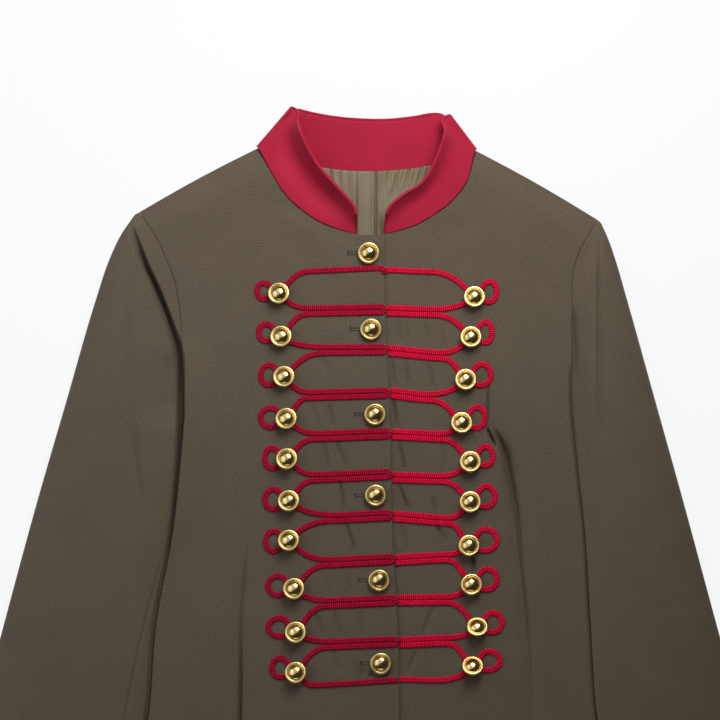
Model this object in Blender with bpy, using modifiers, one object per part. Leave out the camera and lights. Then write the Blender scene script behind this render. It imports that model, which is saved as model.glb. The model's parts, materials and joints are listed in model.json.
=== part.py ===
"""A military-style jacket with a stand collar, frogging and domed buttons, laid flat on its back.

The origin is under the middle of the jacket, on the surface that it lies on. X runs to the viewer's
right, Y runs from the hem to the collar and Z points up, out of the front. The tables below are in
millimetres, and MM turns them to metres. Left and right are the viewer's.
"""

import math
from collections import namedtuple

import bmesh
import bpy
import numpy as np
from mathutils import Vector
from mathutils.bvhtree import BVHTree

MM = 0.001

# Cloth and trim sizes
WALL = 1.5
UNDER_WALL = 1.2
COLLAR_WALL = 2.4
LINING_WALL = 1.0
SEAM_HALF_GAP = 0.2
LAYER_GAP = 0.3
BRAID_WIDTH = 4.8
BRAID_THICK = 1.9
BRAID_PITCH = 5.4
BUTTON_RADIUS = 9.25
BUTTON_HEIGHT = 7.4

# How the body lies
HEM_Y = -350.0
HEM_HALF_WIDTH = 236.0
UNDERARM_Y = 80.0
NECK_Y = 238.0
MARGIN_TOP = 3.0
CROWN_FALL = 0.22
CROWN_HALF_WIDTH = 190.0
ROLL_START = 1.0
ROLL_WIDTH = 12.0
HEM_RISE = 6.0
HEM_RISE_REACH = 80.0
OVERLAP = 30.0
OVERLAP_LIFT = 2.3
LIFT_CLEAR = 3.0
LIFT_RUN = 90.0
ARMHOLE_HOLD = 0.8
HOLD_START = 95.0
HOLD_RUN = 30.0
SHOULDER_ROLL = 24.0
DART_WIDTH = 7.0

# Outlines of the body from the hem to the neck: the side seam, the line where the sleeve or the
# edge hides the front, the dart, and the edge of the upper front
Level = namedtuple("Level", "y left_side left_line left_dart edge right_dart right_line right_side")
BODY = [
    Level(-350, -232, -229, -112, 28.0, 153, 233, 236),
    Level(-260, -212, -209, -111, 28.0, 150, 214, 217),
    Level(-178, -200, -190, -109, 28.0, 145.5, 198.5, 209),
    Level(-96, -195, -183, -107.5, 26.5, 138, 192.5, 205),
    Level(-15, -200, -168, -101, 22.0, 129.5, 187.5, 208),
    Level(54, -207, -160.5, -100, 20.5, 118.5, 180.0, 212),
    Level(80, -211, -158.5, -99, 20.0, 109, 177.5, 214),
    Level(104, -211, -158, -98, 19.0, 105, 176.3, 214),
    Level(140, -211, -158, -98, 17.0, 105, 176, 214),
    Level(238, -211, -158, -98, 14.5, 105, 176, 214),
]

# How high the front stands over its margin, and how deep the darts' folds are
Rise = namedtuple("Rise", "y height left_fold right_fold")
RISES = [
    Rise(-350, 5.0, 1.5, 1.2),
    Rise(-178, 7.5, 1.6, 1.6),
    Rise(-96, 8.5, 1.1, 2.0),
    Rise(-15, 9.5, 0.3, 2.8),
    Rise(45, 10.5, 0.0, 4.0),
    Rise(75, 11.0, 0.0, 2.4),
    Rise(110, 11.0, 0.0, 0.2),
    Rise(180, 10.0, 0.0, 0.0),
    Rise(320, 8.5, 0.0, 0.0),
]

Point = namedtuple("Point", "x y")

# The front armholes, from the shoulder tip down to the underarm fold
ARMHOLES = {
    "left": [
        Point(-196.6, 258.8),
        Point(-188.5, 247),
        Point(-179, 232),
        Point(-171, 214),
        Point(-164.5, 195),
        Point(-160, 161),
        Point(-158, 130),
        Point(-158.2, 97),
    ],
    "right": [
        Point(198.6, 252.6),
        Point(193.5, 243.5),
        Point(186, 230),
        Point(179.5, 215),
        Point(176.5, 199),
        Point(176, 170),
        Point(176, 130),
        Point(176.4, 97),
    ],
}
ARMHOLE_STEPS = [0, 6.5, 13, 20, 27, 34, 41, 49, 64, 84, 108, 136, 163]
ARMHOLE_ROWS_Y = 103.0

# The rows of a front that turn round the underarm: where each starts and ends in Y, how far its
# end goes from the side seam to the sleeve's line, and how far past that line
Turn = namedtuple("Turn", "start_y end_y toward_line past_line")
UNDERARM_TURNS = [
    Turn(80, 80, 0.0, 0.0),
    Turn(86, 84, 0.45, 0.0),
    Turn(92, 89, 1.0, 8.0),
]

# The back armholes, from the shoulder tip to the underarm point
BACK_ARMHOLES = {
    "left": [
        Point(-197, 258),
        Point(-191, 235),
        Point(-188, 205),
        Point(-188, 170),
        Point(-192, 130),
        Point(-200, 100),
        Point(-211, 80),
    ],
    "right": [
        Point(199, 251.5),
        Point(193, 230),
        Point(190.5, 205),
        Point(190.5, 170),
        Point(194.5, 130),
        Point(202.5, 100),
        Point(214, 80),
    ],
}

# The sleeves below the armhole: the inner line, then the outer line from the shoulder tip
INNER_LINES = {
    "left": [Point(-160, 54), Point(-168, -17), Point(-182.5, -96), Point(-190, -178),
             Point(-213, -262), Point(-246, -343)],
    "right": [Point(179.8, 54), Point(187.5, -17), Point(192.5, -96), Point(198.5, -178),
              Point(218, -262), Point(247, -343)],
}
OUTER_LINES = {
    "left": [Point(-200.5, 256.6), Point(-212.5, 239), Point(-222.5, 217.5), Point(-234, 183),
             Point(-259, 97), Point(-284, 11), Point(-312, -92), Point(-334.5, -178), Point(-367, -317)],
    "right": [Point(202.0, 249.6), Point(208.5, 235), Point(214.5, 217.5), Point(224.5, 183),
              Point(248.5, 97), Point(272.5, 11), Point(299, -87), Point(324, -178), Point(367, -317)],
}
LOWER_STATIONS = 13
SLEEVE_TOP_COLUMNS = 12
SLEEVE_UNDER_COLUMNS = 11
SLEEVE_EDGE = 2.6
SLEEVE_EDGE_CLEAR = {"left": 1.45, "right": 2.05}
SLEEVE_LEAST_CROWN = 0.5
INNER_ROUNDNESS = 2.3
OUTER_ROUNDNESS = 2.2
INNER_SOFTNESS = {"left": 0.0, "right": 0.85}
UNDERARM_EDGE = 5.6
UNDERARM_EDGE_BELOW = 150.0
CLIMB_HEIGHT = 3.35
CLIMB_START = 36.0
CLIMB_RUN = 24.0
CLIMB_FADE_START = 82.0
CLIMB_FADE_RUN = 43.0
CLIMB_END = -320.0
CLIMB_END_RUN = 70.0

# The sleeve's crown along its length, and the fold beside the armhole: its distance from the
# inner line and its depth
Swell = namedtuple("Swell", "run crown left_fold_at left_fold right_fold_at right_fold")
SWELLS = [
    Swell(0, 3.6, 8, 0.0, 9, 0.0),
    Swell(12, 6.5, 13, 1.5, 9, 0.4),
    Swell(30, 11.0, 19, 3.5, 10, 1.5),
    Swell(60, 14.5, 20, 5.0, 11, 3.0),
    Swell(100, 17.0, 14, 5.0, 12, 3.5),
    Swell(140, 18.0, 9, 3.0, 13, 3.0),
    Swell(190, 18.0, 9, 0.5, 15, 2.5),
    Swell(320, 17.0, 24, 1.5, 15, 2.0),
    Swell(450, 15.0, 24, 1.5, 18, 0.5),
    Swell(620, 12.5, 24, 0.8, 18, 0.3),
]
FOLD_WIDTH = 6.0
FOLD_EDGE_RUN = 8.0

# The neck seam on each front from the front corner to the shoulder, and the collar's top edge
Ruling = namedtuple("Ruling", "x y top_x top_y")
COLLAR = {
    "left": [
        Ruling(-9.5, 239.5, -9.0, 262.0),
        Ruling(-26, 244.0, -24.0, 278.5),
        Ruling(-42, 250.5, -35.5, 291.0),
        Ruling(-57.5, 261.0, -45.0, 303.5),
        Ruling(-71, 274.0, -52.5, 317.5),
        Ruling(-83, 293.5, -59.0, 334.0),
        Ruling(-94.5, 314.0, -66.0, 348.1),
    ],
    "right": [
        Ruling(15.0, 239.5, 17.0, 262.0),
        Ruling(28, 242.5, 31.0, 273.5),
        Ruling(44, 248.0, 45.5, 282.5),
        Ruling(60, 257.5, 55.5, 296.5),
        Ruling(74, 268.5, 61.5, 311.0),
        Ruling(86, 284.5, 66.5, 327.0),
        Ruling(94.0, 312.0, 71.5, 343.0),
    ],
}
BACK_COLLAR = [
    Ruling(-70, 304.0, -50.0, 346.5),
    Ruling(-42, 298.0, -26.0, 341.5),
    Ruling(-14, 294.5, -2.0, 339.5),
    Ruling(14, 294.5, 20.0, 339.5),
    Ruling(42, 297.0, 42.0, 342.5),
    Ruling(70, 303.0, 60.0, 344.0),
]
COLLAR_OFFSET = 0.8
COLLAR_STAND = 7.0
COLLAR_FOLD_RADIUS = 1.9
COLLAR_BACK_SEAM = 1.6
COLLAR_FOLD_TOP = 3.8
COLLAR_BACK_TOP = 8.0
COLLAR_ROWS = 4
FOLD_TURN_PARTS = (0.25, 0.5, 0.75, 1.0)

# The lining in the neck: its columns from one side to the other, and its pleat
LINING_COLUMNS = [-1, -0.75, -0.5, -0.25, -0.08, 0, 0.04, 0.2, 0.45, 0.7, 1]
LINING_ROWS = 6
LINING_MIDDLE = 4.0
LINING_TOP_HALF = 60.0
LINING_TAPER = 34.0
LINING_TAPER_POWER = 1.5
LINING_TOP_CLEAR = 1.8
LINING_LENGTH = 68.0
PLEAT_X = 3.0
PLEAT_WIDTH = 5.0
PLEAT_HEIGHT = 1.2

# One row of frogging: the buttons, the outer end of the loops and the two centre bands above it
Row = namedtuple("Row", "left_x left_y left_loop left_band right_x right_y right_loop right_band")
FROGGING = [
    Row(-75.5, 188.5, -97.0, 210.0, 92.0, 185.5, 113.5, 209.0),
    Row(-73.5, 151.5, -95.5, 175.0, 89.0, 151.0, 109.0, 174.0),
    Row(-71.0, 117.0, -93.5, 141.0, 84.5, 114.5, 108.0, 139.0),
    Row(-69.0, 81.0, -93.5, 103.0, 81.0, 77.5, 104.0, 102.5),
    Row(-68.5, 46.5, -89.5, 68.5, 88.5, 44.0, 110.0, 67.0),
    Row(-67.0, 10.5, -90.0, 33.5, 88.5, 9.5, 112.0, 30.5),
    Row(-67.0, -23.5, -90.0, -2.5, 87.5, -28.0, 114.0, -4.0),
    Row(-62.5, -65.0, -88.0, -40.0, 89.5, -61.5, 114.0, -40.5),
    Row(-61.0, -102.5, -87.0, -75.0, 94.5, -99.0, 118.0, -75.5),
    Row(-61.0, -137.0, -84.5, -110.5, 90.5, -132.5, 117.0, -110.5),
]
LAST_BANDS = {"left": -146.0, "right": -144.0}
BAND_LENGTH = 56.0
BEND_PULL = 16.0
CROSSING_PULL_X = 9.0
CROSSING_PULL_Y = 7.0
BEZIER_STEPS = 4
LOOP_HALF_HEIGHT = 7.6
LOOP_MIDDLE_PART = 0.15
LOOP_PULL_PART = 1.15
CROSSING_LIFT = 2.3
CROSSING_REACH = 13.0
CROSSING_SHARPNESS = 1.6
BRAID_START_CLEAR = 1.2
BRAID_GAP = 0.4

Button = namedtuple("Button", "x y")
CENTRE_BUTTONS = [
    Button(1.5, 223.5),
    Button(3.5, 158.0),
    Button(7.0, 85.0),
    Button(7.5, 15.5),
    Button(10.5, -57.5),
    Button(12.0, -129.0),
]
SIDE_BUTTON_TILT = 10.0
SIDE_BUTTON_ROLL = 4.0
LEANING_BUTTON_TILT = 24.0
LEANING_ROWS = (8, 9)
LEANING_EXTRA = 0.2
BUTTON_STEPS = 12

# The button's profile from the top of the dome to the middle of its back, as parts of its radius
# and height
Turned = namedtuple("Turned", "radius height")
BUTTON_PROFILE = [
    Turned(0.0, 1.0),
    Turned(0.48, 0.90),
    Turned(0.80, 0.60),
    Turned(1.0, 0.49),
    Turned(0.93, 0.30),
    Turned(0.0, 0.0),
]

# How finely the body is divided
FIRST_FRONT_ROWS = 12
LEVEL_PART_CELLS = 4
SIDE_PART_CELLS = 3
CREASE_HALF = 9.0
ROLL_PARTS = (1.0, 0.66, 0.33, 0.0)
BACK_SIDE_POINTS = 11
BACK_ARMHOLE_POINTS = 12
BACK_HEM_POINTS = 9


def clear_scene():
    for item in list(bpy.data.objects):
        bpy.data.objects.remove(item, do_unlink=True)


def ease(value):
    """Rises from 0 to 1 with level ends as the value goes from 0 to 1."""
    held = np.clip(value, 0.0, 1.0)
    return held * held * (3.0 - 2.0 * held)


def smooth_between(places, values, at):
    """A smooth curve through a short table: a cubic on each gap, with slopes from its neighbours."""
    places = np.asarray(places, float)
    values = np.asarray(values, float)
    order = np.argsort(places)
    places, values = places[order], values[order]
    slopes = np.gradient(values, places, axis=0)
    at = np.clip(np.asarray(at, float), places[0], places[-1])
    cell = np.clip(np.searchsorted(places, at, side="right") - 1, 0, len(places) - 2)
    width = places[cell + 1] - places[cell]
    part = (at - places[cell]) / width
    if values.ndim == 2:
        width, part = width[..., None], part[..., None]
    before, after = values[cell], values[cell + 1]
    start, end = slopes[cell] * width, slopes[cell + 1] * width
    squared, cubed = part * part, part * part * part
    return (
        before * (2 * cubed - 3 * squared + 1)
        + start * (cubed - 2 * squared + part)
        + after * (3 * squared - 2 * cubed)
        + end * (cubed - squared)
    )


def column(table, name):
    return [getattr(row, name) for row in table]


def body(name, y):
    return smooth_between(column(BODY, "y"), column(BODY, name), y)


def rise(name, y):
    return smooth_between(column(RISES, "y"), column(RISES, name), y)


def run_along(points):
    """The distance along a chain of points at each of them."""
    points = np.asarray(points, float)
    steps = np.hypot(*np.diff(points, axis=0).T)
    return np.concatenate([[0.0], np.cumsum(steps)])


def points_at(points, distances):
    points = np.asarray(points, float)
    return smooth_between(run_along(points), points, distances)


def depth_below_shoulder(side, x, y):
    """The distance of a point below the shoulder line of its side."""
    neck = COLLAR[side][-1]
    tip = ARMHOLES[side][0]
    run = np.array([tip.x - neck.x, tip.y - neck.y])
    run /= np.hypot(*run)
    across = (x - neck.x) * run[1] - (y - neck.y) * run[0]
    return across if side == "right" else -across


def crown(x, y):
    """The outer face of the fronts: a soft plateau that rolls down to the sides and shoulders."""
    x, y = np.broadcast_arrays(np.asarray(x, float), np.asarray(y, float))
    hold = ARMHOLE_HOLD * ease((y - HOLD_START) / HOLD_RUN)
    middle = body("edge", y) - OVERLAP / 2
    height = rise("height", y) * (1.0 - CROWN_FALL * ((x - middle) / CROWN_HALF_WIDTH) ** 2)
    for side, inward in (("left", x - body("left_line", y)), ("right", body("right_line", y) - x)):
        roll = np.sin(np.clip((inward - ROLL_START) / ROLL_WIDTH, 0, 1) * math.pi / 2)
        height = height * (hold + (1 - hold) * roll)
        under = depth_below_shoulder(side, x, y)
        nearby = x < 0 if side == "left" else x >= 0
        shoulder = np.sin(np.clip(under / SHOULDER_ROLL, 0, 1) * math.pi / 2)
        height = np.where(nearby, height * shoulder, height)
        crease = np.exp(-(((x - body(side + "_dart", y)) / DART_WIDTH) ** 2))
        height = height - rise(side + "_fold", y) * crease * (height > MARGIN_TOP)
    return MARGIN_TOP + height


def lifted_crown(x, y):
    """The outer face of the left front, which rises to lie over the right front."""
    full_at = body("edge", y) - OVERLAP - LIFT_CLEAR
    return crown(x, y) + OVERLAP_LIFT * ease((x - full_at + LIFT_RUN) / LIFT_RUN)


def hem_rise(x, y):
    """How far the hem's curve moves a point up: most at the side seams, none above the hem."""
    near_hem = 1.0 - np.clip((y - HEM_Y) / HEM_RISE_REACH, 0, 1)
    return HEM_RISE * (x / HEM_HALF_WIDTH) ** 2 * near_hem


def material(name, color, roughness, metallic=0.0):
    made = bpy.data.materials.new(name)
    made.use_nodes = True
    shader = made.node_tree.nodes["Principled BSDF"]
    shader.inputs["Base Color"].default_value = (*color, 1.0)
    shader.inputs["Roughness"].default_value = roughness
    shader.inputs["Metallic"].default_value = metallic
    return made


def add_object(name, mesh, finish):
    made = bpy.data.objects.new(name, mesh)
    made.data.materials.clear()
    made.data.materials.append(finish)
    bpy.data.collections["military_jacket"].objects.link(made)
    return made


def sheet(name, points, finish, wall, offset, face_up=True):
    """A grid moved onto rows of points in millimetres, with Solidify for its wall."""
    points = np.asarray(points, float) * MM
    rows, columns = points.shape[:2]
    mesh = bpy.data.meshes.new(name)
    work = bmesh.new()
    bmesh.ops.create_grid(work, x_segments=columns - 1, y_segments=rows - 1, size=1.0)
    for vertex in work.verts:
        across = round((vertex.co.x + 1) / 2 * (columns - 1))
        along = round((vertex.co.y + 1) / 2 * (rows - 1))
        vertex.co = points[along, across]
    work.normal_update()
    if (sum(face.normal.z * face.calc_area() for face in work.faces) < 0) == face_up:
        bmesh.ops.reverse_faces(work, faces=work.faces)
    work.to_mesh(mesh)
    work.free()
    mesh.shade_smooth()
    made = add_object(name, mesh, finish)
    thicken = made.modifiers.new("Wall", "SOLIDIFY")
    thicken.thickness = wall * MM
    thicken.offset = offset
    return made


def flat_panel(name, outline, finish, thick):
    """A flat outline as a filled 2D curve, made a mesh with its caps welded."""
    curve = bpy.data.curves.new(name + "_outline", "CURVE")
    curve.dimensions = "2D"
    curve.fill_mode = "BOTH"
    curve.extrude = thick / 2 * MM
    spline = curve.splines.new("POLY")
    spline.points.add(len(outline) - 1)
    for target, (x, y) in zip(spline.points, outline):
        target.co = (x * MM, y * MM, 0.0, 1.0)
    spline.use_cyclic_u = True
    helper = bpy.data.objects.new(name + "_outline", curve)
    bpy.data.collections["military_jacket"].objects.link(helper)
    bpy.context.view_layer.update()
    graph = bpy.context.evaluated_depsgraph_get()
    mesh = bpy.data.meshes.new_from_object(helper.evaluated_get(graph))
    bpy.data.objects.remove(helper, do_unlink=True)
    work = bmesh.new()
    work.from_mesh(mesh)
    bmesh.ops.remove_doubles(work, verts=work.verts, dist=1e-6)
    bmesh.ops.recalc_face_normals(work, faces=work.faces)
    work.to_mesh(mesh)
    work.free()
    made = add_object(name, mesh, finish)
    made.location.z = thick / 2 * MM
    return made


def moved_aside(points, amount):
    """A chain of points moved to its left by an amount, seen from above."""
    points = np.asarray(points, float)
    along = np.gradient(points, axis=0)
    along /= np.hypot(*along.T)[:, None]
    return points + amount * np.stack([-along[:, 1], along[:, 0]], axis=1)


def armhole_points(side):
    points = np.asarray(ARMHOLES[side], float)
    length = run_along(points)[-1]
    steps = np.array(ARMHOLE_STEPS) * length / ARMHOLE_STEPS[-1]
    return points_at(points, steps)


def row_places(side, start, end, line_x, spread):
    """Where the columns of one row of a front lie in X: closer at the dart and at the side roll."""
    inward = 1.0 if side == "left" else -1.0
    dart = float(body(side + "_dart", start[1]))
    roll = line_x + inward * (ROLL_START + ROLL_WIDTH)
    crease = [dart + inward * CREASE_HALF, dart, dart - inward * CREASE_HALF]
    by_dart = np.concatenate([
        np.linspace(start[0], crease[0], LEVEL_PART_CELLS + 1)[:-1],
        crease,
        np.linspace(crease[2], roll, SIDE_PART_CELLS + 1)[1:-1],
    ])
    even = np.linspace(start[0], roll, len(by_dart) + 1)[:-1]
    places = by_dart * (1 - spread) + even * spread
    rolled = [line_x + inward * (ROLL_START + ROLL_WIDTH * part) for part in ROLL_PARTS]
    margin = [(rolled[-1] + end[0]) / 2, end[0]]
    return np.concatenate([places, rolled, margin])


def front_rows(side):
    """The plan of a front: rows from the hem to the shoulder, from the front edge to the side."""
    under = 0.0 if side == "left" else OVERLAP
    sign = 1.0 if side == "left" else -1.0
    rows = []
    for y in np.linspace(HEM_Y, UNDERARM_Y, FIRST_FRONT_ROWS + 1)[:-1]:
        start = (float(body("edge", y)) - under, y)
        end = (float(body(side + "_side", y)), y)
        rows.append((start, end, float(body(side + "_line", y)), 0.0))
    holes = armhole_points(side)
    seam = moved_aside(holes, sign * SEAM_HALF_GAP)
    side_x = float(body(side + "_side", UNDERARM_Y))
    line_x = float(body(side + "_line", UNDERARM_Y))
    for turn in UNDERARM_TURNS:
        end_x = side_x + (line_x - side_x) * turn.toward_line - sign * turn.past_line
        start_x = float(body("edge", turn.start_y)) - under
        rows.append(((start_x, turn.start_y), (end_x, turn.end_y), line_x, 0.0))
    neck = [(ruling.x, ruling.y) for ruling in COLLAR[side]]
    levels = np.linspace(ARMHOLE_ROWS_Y, NECK_Y, len(holes) - len(neck))
    starts = [(float(body("edge", y)) - under, y) for y in levels] + neck
    for index, (start, end) in enumerate(zip(starts, seam[::-1])):
        spread = index / (len(starts) - 1)
        rows.append((start, tuple(end), end[0], min(1.0, spread * 2)))
    plan = []
    for start, end, line_x, spread in rows:
        x = row_places(side, start, end, line_x, spread)
        part = (x - start[0]) / (end[0] - start[0])
        y = start[1] + part * (end[1] - start[1])
        plan.append(np.stack([x, y + hem_rise(x, y)], axis=1))
    return np.array(plan)


def make_front(side, finish):
    plan = front_rows(side)
    x, y = plan[..., 0], plan[..., 1]
    height = lifted_crown(x, y) if side == "left" else crown(x, y)
    points = np.stack([x, y, height], axis=2)
    return sheet("front_" + side, points, finish, WALL, -1.0)


def make_back(finish):
    """One flat panel on the floor: hem, side seams, back armholes, shoulders and the back neck."""
    halves = []
    for side, sign in (("left", 1.0), ("right", -1.0)):
        y = np.linspace(HEM_Y, UNDERARM_Y, BACK_SIDE_POINTS + 1)[:-1]
        x = body(side + "_side", y)
        side_seam = np.stack([x, y + hem_rise(x, y)], axis=1)
        length = run_along(BACK_ARMHOLES[side])[-1]
        hole = points_at(BACK_ARMHOLES[side], np.linspace(length, 0, BACK_ARMHOLE_POINTS))
        neck = COLLAR[side][-1]
        shoulder = [[neck.x - sign * 2 * SEAM_HALF_GAP, neck.y]]
        halves.append(np.vstack([side_seam, hole, shoulder]))
    neck_seam = [(ruling.x, ruling.y - COLLAR_OFFSET) for ruling in BACK_COLLAR]
    ends = body("right_side", HEM_Y), body("left_side", HEM_Y)
    hem_x = np.linspace(*ends, BACK_HEM_POINTS + 2)[1:-1]
    hem = np.stack([hem_x, HEM_Y + hem_rise(hem_x, HEM_Y)], axis=1)
    outline = np.vstack([halves[0], neck_seam, halves[1][::-1], hem])
    return flat_panel("back", outline, finish, UNDER_WALL)


def swell(name, run):
    return smooth_between(column(SWELLS, "run"), column(SWELLS, name), run)


def sleeve_lines(side):
    """The inner and outer lines of a sleeve at its stations, from the shoulder tip to the cuff."""
    sign = 1.0 if side == "left" else -1.0
    holes = armhole_points(side)
    chain = np.vstack([holes[-2:], INNER_LINES[side]])
    runs = run_along(chain)
    below = np.linspace(runs[1], runs[-1], LOWER_STATIONS + 1)[1:]
    inner = np.vstack([holes, points_at(chain, below)])
    run = run_along(inner)
    outer_length = run_along(OUTER_LINES[side])[-1]
    outer = points_at(OUTER_LINES[side], run / run[-1] * outer_length)
    return moved_aside(inner, -sign * SEAM_HALF_GAP), outer, run, len(holes)


def climb(side, x, y):
    """How high the under sleeve climbs to lie over the body's side margin."""
    seam = body(side + "_side", y)
    inside = x - seam if side == "left" else seam - x
    over = ease((inside + CLIMB_START) / CLIMB_RUN)
    below_underarm = 1 - ease((y - CLIMB_FADE_START) / CLIMB_FADE_RUN)
    above_cuff = ease((y - CLIMB_END) / CLIMB_END_RUN)
    return CLIMB_HEIGHT * over * below_underarm * above_cuff


def rounded(part, roundness):
    """A quarter of a rounded arch, from 0 at the edge to 1 at the top."""
    return (1 - (1 - part) ** roundness) ** (1 / roundness)


def sleeve_height(side, run, part, width, inner_edge, softness):
    """The outer face of a sleeve's top: part goes from the inner line, 0, to the outer line, 1."""
    top = np.maximum(swell("crown", run), inner_edge + SLEEVE_LEAST_CROWN)
    from_inner = np.clip(2 * part, 0, 1)
    soft = np.sin(from_inner * math.pi / 2)
    inner_rise = soft * softness + rounded(from_inner, INNER_ROUNDNESS) * (1 - softness)
    inner = inner_edge + (top - inner_edge) * inner_rise
    from_outer = np.clip(2 * (1 - part), 0, 1)
    outer = SLEEVE_EDGE + (top - SLEEVE_EDGE) * rounded(from_outer, OUTER_ROUNDNESS)
    height = np.where(2 * part < 1, inner, outer)
    aside = part * width - swell(side + "_fold_at", run)
    fold = swell(side + "_fold", run) * np.exp(-((aside / FOLD_WIDTH) ** 2))
    return height - fold * ease(part * width / FOLD_EDGE_RUN)


def make_sleeve_top(side, finish):
    inner, outer, run, count = sleeve_lines(side)
    parts = (1 - np.cos(np.linspace(0, math.pi, SLEEVE_TOP_COLUMNS))) / 2
    rows = []
    for station in range(len(inner)):
        start, end = inner[station], outer[station]
        width = float(np.hypot(*(end - start)))
        if station < count:
            edge = float(crown(*armhole_points(side)[station]))
            edge = max(edge, UNDERARM_EDGE) if start[1] < UNDERARM_EDGE_BELOW else edge
            softness = 1.0
        else:
            edge = float(climb(side, *start)) + UNDER_WALL + SLEEVE_EDGE_CLEAR[side]
            softness = INNER_SOFTNESS[side]
        height = sleeve_height(side, run[station], parts, width, edge, softness)
        plan = start + parts[:, None] * (end - start)
        rows.append(np.column_stack([plan, height]))
    return sheet("sleeve_" + side + "_top", rows, finish, WALL, -1.0)


def make_sleeve_under(side, finish):
    """The under sleeve lies on the floor and climbs over the body's side margin."""
    inner, outer, _, count = sleeve_lines(side)
    sign = 1.0 if side == "left" else -1.0
    length = run_along(BACK_ARMHOLES[side])[-1]
    hole = points_at(BACK_ARMHOLES[side], np.linspace(0, length, count))
    inner[:count] = moved_aside(hole, -sign * 2 * SEAM_HALF_GAP)
    parts = np.linspace(0, 1, SLEEVE_UNDER_COLUMNS)
    rows = []
    for start, end in zip(inner, outer):
        plan = start + parts[:, None] * (end - start)
        rows.append(np.column_stack([plan, climb(side, plan[:, 0], plan[:, 1])]))
    return sheet("sleeve_" + side + "_under", rows, finish, UNDER_WALL, 1.0)


def collar_front_rulings(side):
    """The front half of the collar: its seam and top edges with their heights."""
    rulings = COLLAR[side]
    seam = np.array([(ruling.x, ruling.y) for ruling in rulings])
    sign = 1.0 if side == "left" else -1.0
    seam = moved_aside(seam, -sign * COLLAR_OFFSET)
    top = np.array([(ruling.top_x, ruling.top_y) for ruling in rulings])
    surface = lifted_crown if side == "left" else crown
    low = surface(seam[:, 0], seam[:, 1])
    fold_height = COLLAR_BACK_SEAM + 2 * COLLAR_FOLD_RADIUS
    low = np.maximum(low, fold_height)
    toward_fold = ease(np.linspace(0, 1, len(rulings)))
    high = low + COLLAR_STAND * (1 - toward_fold) + COLLAR_FOLD_TOP * toward_fold
    return np.column_stack([seam, low]), np.column_stack([top, high])


def make_collar(finish):
    """A stand collar folded flat at the sides: front halves above, the back half below."""
    lows, highs = [], []
    fronts = {side: collar_front_rulings(side) for side in ("left", "right")}
    back_low = [(ruling.x, ruling.y, COLLAR_BACK_SEAM) for ruling in BACK_COLLAR]
    swing = np.sin(np.linspace(0, math.pi, len(BACK_COLLAR) + 2)[1:-1])
    stand = COLLAR_BACK_SEAM + COLLAR_FOLD_TOP
    back_high = [
        (ruling.top_x, ruling.top_y, stand + (COLLAR_BACK_TOP - stand) * part)
        for ruling, part in zip(BACK_COLLAR, swing)
    ]
    folds = {}
    for side, sign in (("left", -1.0), ("right", 1.0)):
        low, high = (chain[-1] for chain in fronts[side])
        run = (high - low)[:2] / np.hypot(*(high - low)[:2])
        outward = np.array([run[1], -run[0]]) * sign
        turns = []
        for part in FOLD_TURN_PARTS:
            down = COLLAR_FOLD_RADIUS * (1 - math.cos(part * math.pi))
            aside = outward * COLLAR_FOLD_RADIUS * math.sin(part * math.pi)
            shift = np.array([aside[0], aside[1], -down])
            turns.append((low + shift, high + shift))
        folds[side] = turns
    for low, high in zip(*fronts["left"]):
        lows.append(low)
        highs.append(high)
    for low, high in folds["left"]:
        lows.append(low)
        highs.append(high)
    lows.extend(back_low)
    highs.extend(back_high)
    for low, high in reversed(folds["right"]):
        lows.append(low)
        highs.append(high)
    for low, high in reversed(list(zip(*fronts["right"]))):
        lows.append(low)
        highs.append(high)
    lows, highs = np.array(lows, float), np.array(highs, float)
    parts = np.linspace(0, 1, COLLAR_ROWS)
    rows = lows[None] + parts[:, None, None] * (highs - lows)[None]
    return sheet("collar", rows, finish, COLLAR_WALL, 0.0)


def make_neck_lining(finish):
    """The lining where it shows in the neck, with its centre pleat, and a margin under the fronts."""
    rows = []
    for down in np.linspace(0, 1, LINING_ROWS):
        half = LINING_TOP_HALF - LINING_TAPER * down ** LINING_TAPER_POWER
        x = LINING_MIDDLE + np.array(LINING_COLUMNS) * half
        top = smooth_between(column(BACK_COLLAR, "x"), column(BACK_COLLAR, "y"), x)
        y = top - LINING_TOP_CLEAR - down * LINING_LENGTH
        pleat = PLEAT_HEIGHT * np.exp(-(((x - PLEAT_X) / PLEAT_WIDTH) ** 2))
        rows.append(np.column_stack([x, y, UNDER_WALL + LAYER_GAP + pleat]))
    return sheet("neck_lining", rows, finish, LINING_WALL, 1.0)


def bezier(start, start_pull, end_pull, end):
    """The points of a curve with two pulls, without its start."""
    part = np.linspace(0, 1, BEZIER_STEPS + 1)[1:, None]
    rest = 1 - part
    return (
        rest ** 3 * start + 3 * rest ** 2 * part * start_pull
        + 3 * rest * part ** 2 * end_pull + part ** 3 * end
    )


def frog_path(side, row, upper_edge, lower_edge):
    """One lobe: out along the band, across under the button, round the loop, and back again."""
    button = np.array([getattr(row, side + "_x"), getattr(row, side + "_y")])
    loop_x = getattr(row, side + "_loop")
    out = -1.0 if side == "left" else 1.0
    loop = np.array([loop_x - out * BRAID_WIDTH / 2, button[1]])
    halves = []
    for edge, turn in ((upper_edge, 1.0), (lower_edge, -1.0)):
        bend = edge + [out * BAND_LENGTH, 0]
        steep = np.array([out * CROSSING_PULL_X, -turn * CROSSING_PULL_Y])
        into = bezier(bend, bend + [out * BEND_PULL, 0], button - steep, button)
        swing = -turn * LOOP_HALF_HEIGHT * (LOOP_MIDDLE_PART + LOOP_PULL_PART)
        around = bezier(button, button + steep, loop + [0, swing], loop)
        middle = (edge + bend) / 2
        halves.append(np.vstack([[edge, middle, bend], into, around]))
    upper, lower = halves
    return np.vstack([upper, lower[::-1][1:]]), len(upper) + 3


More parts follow.
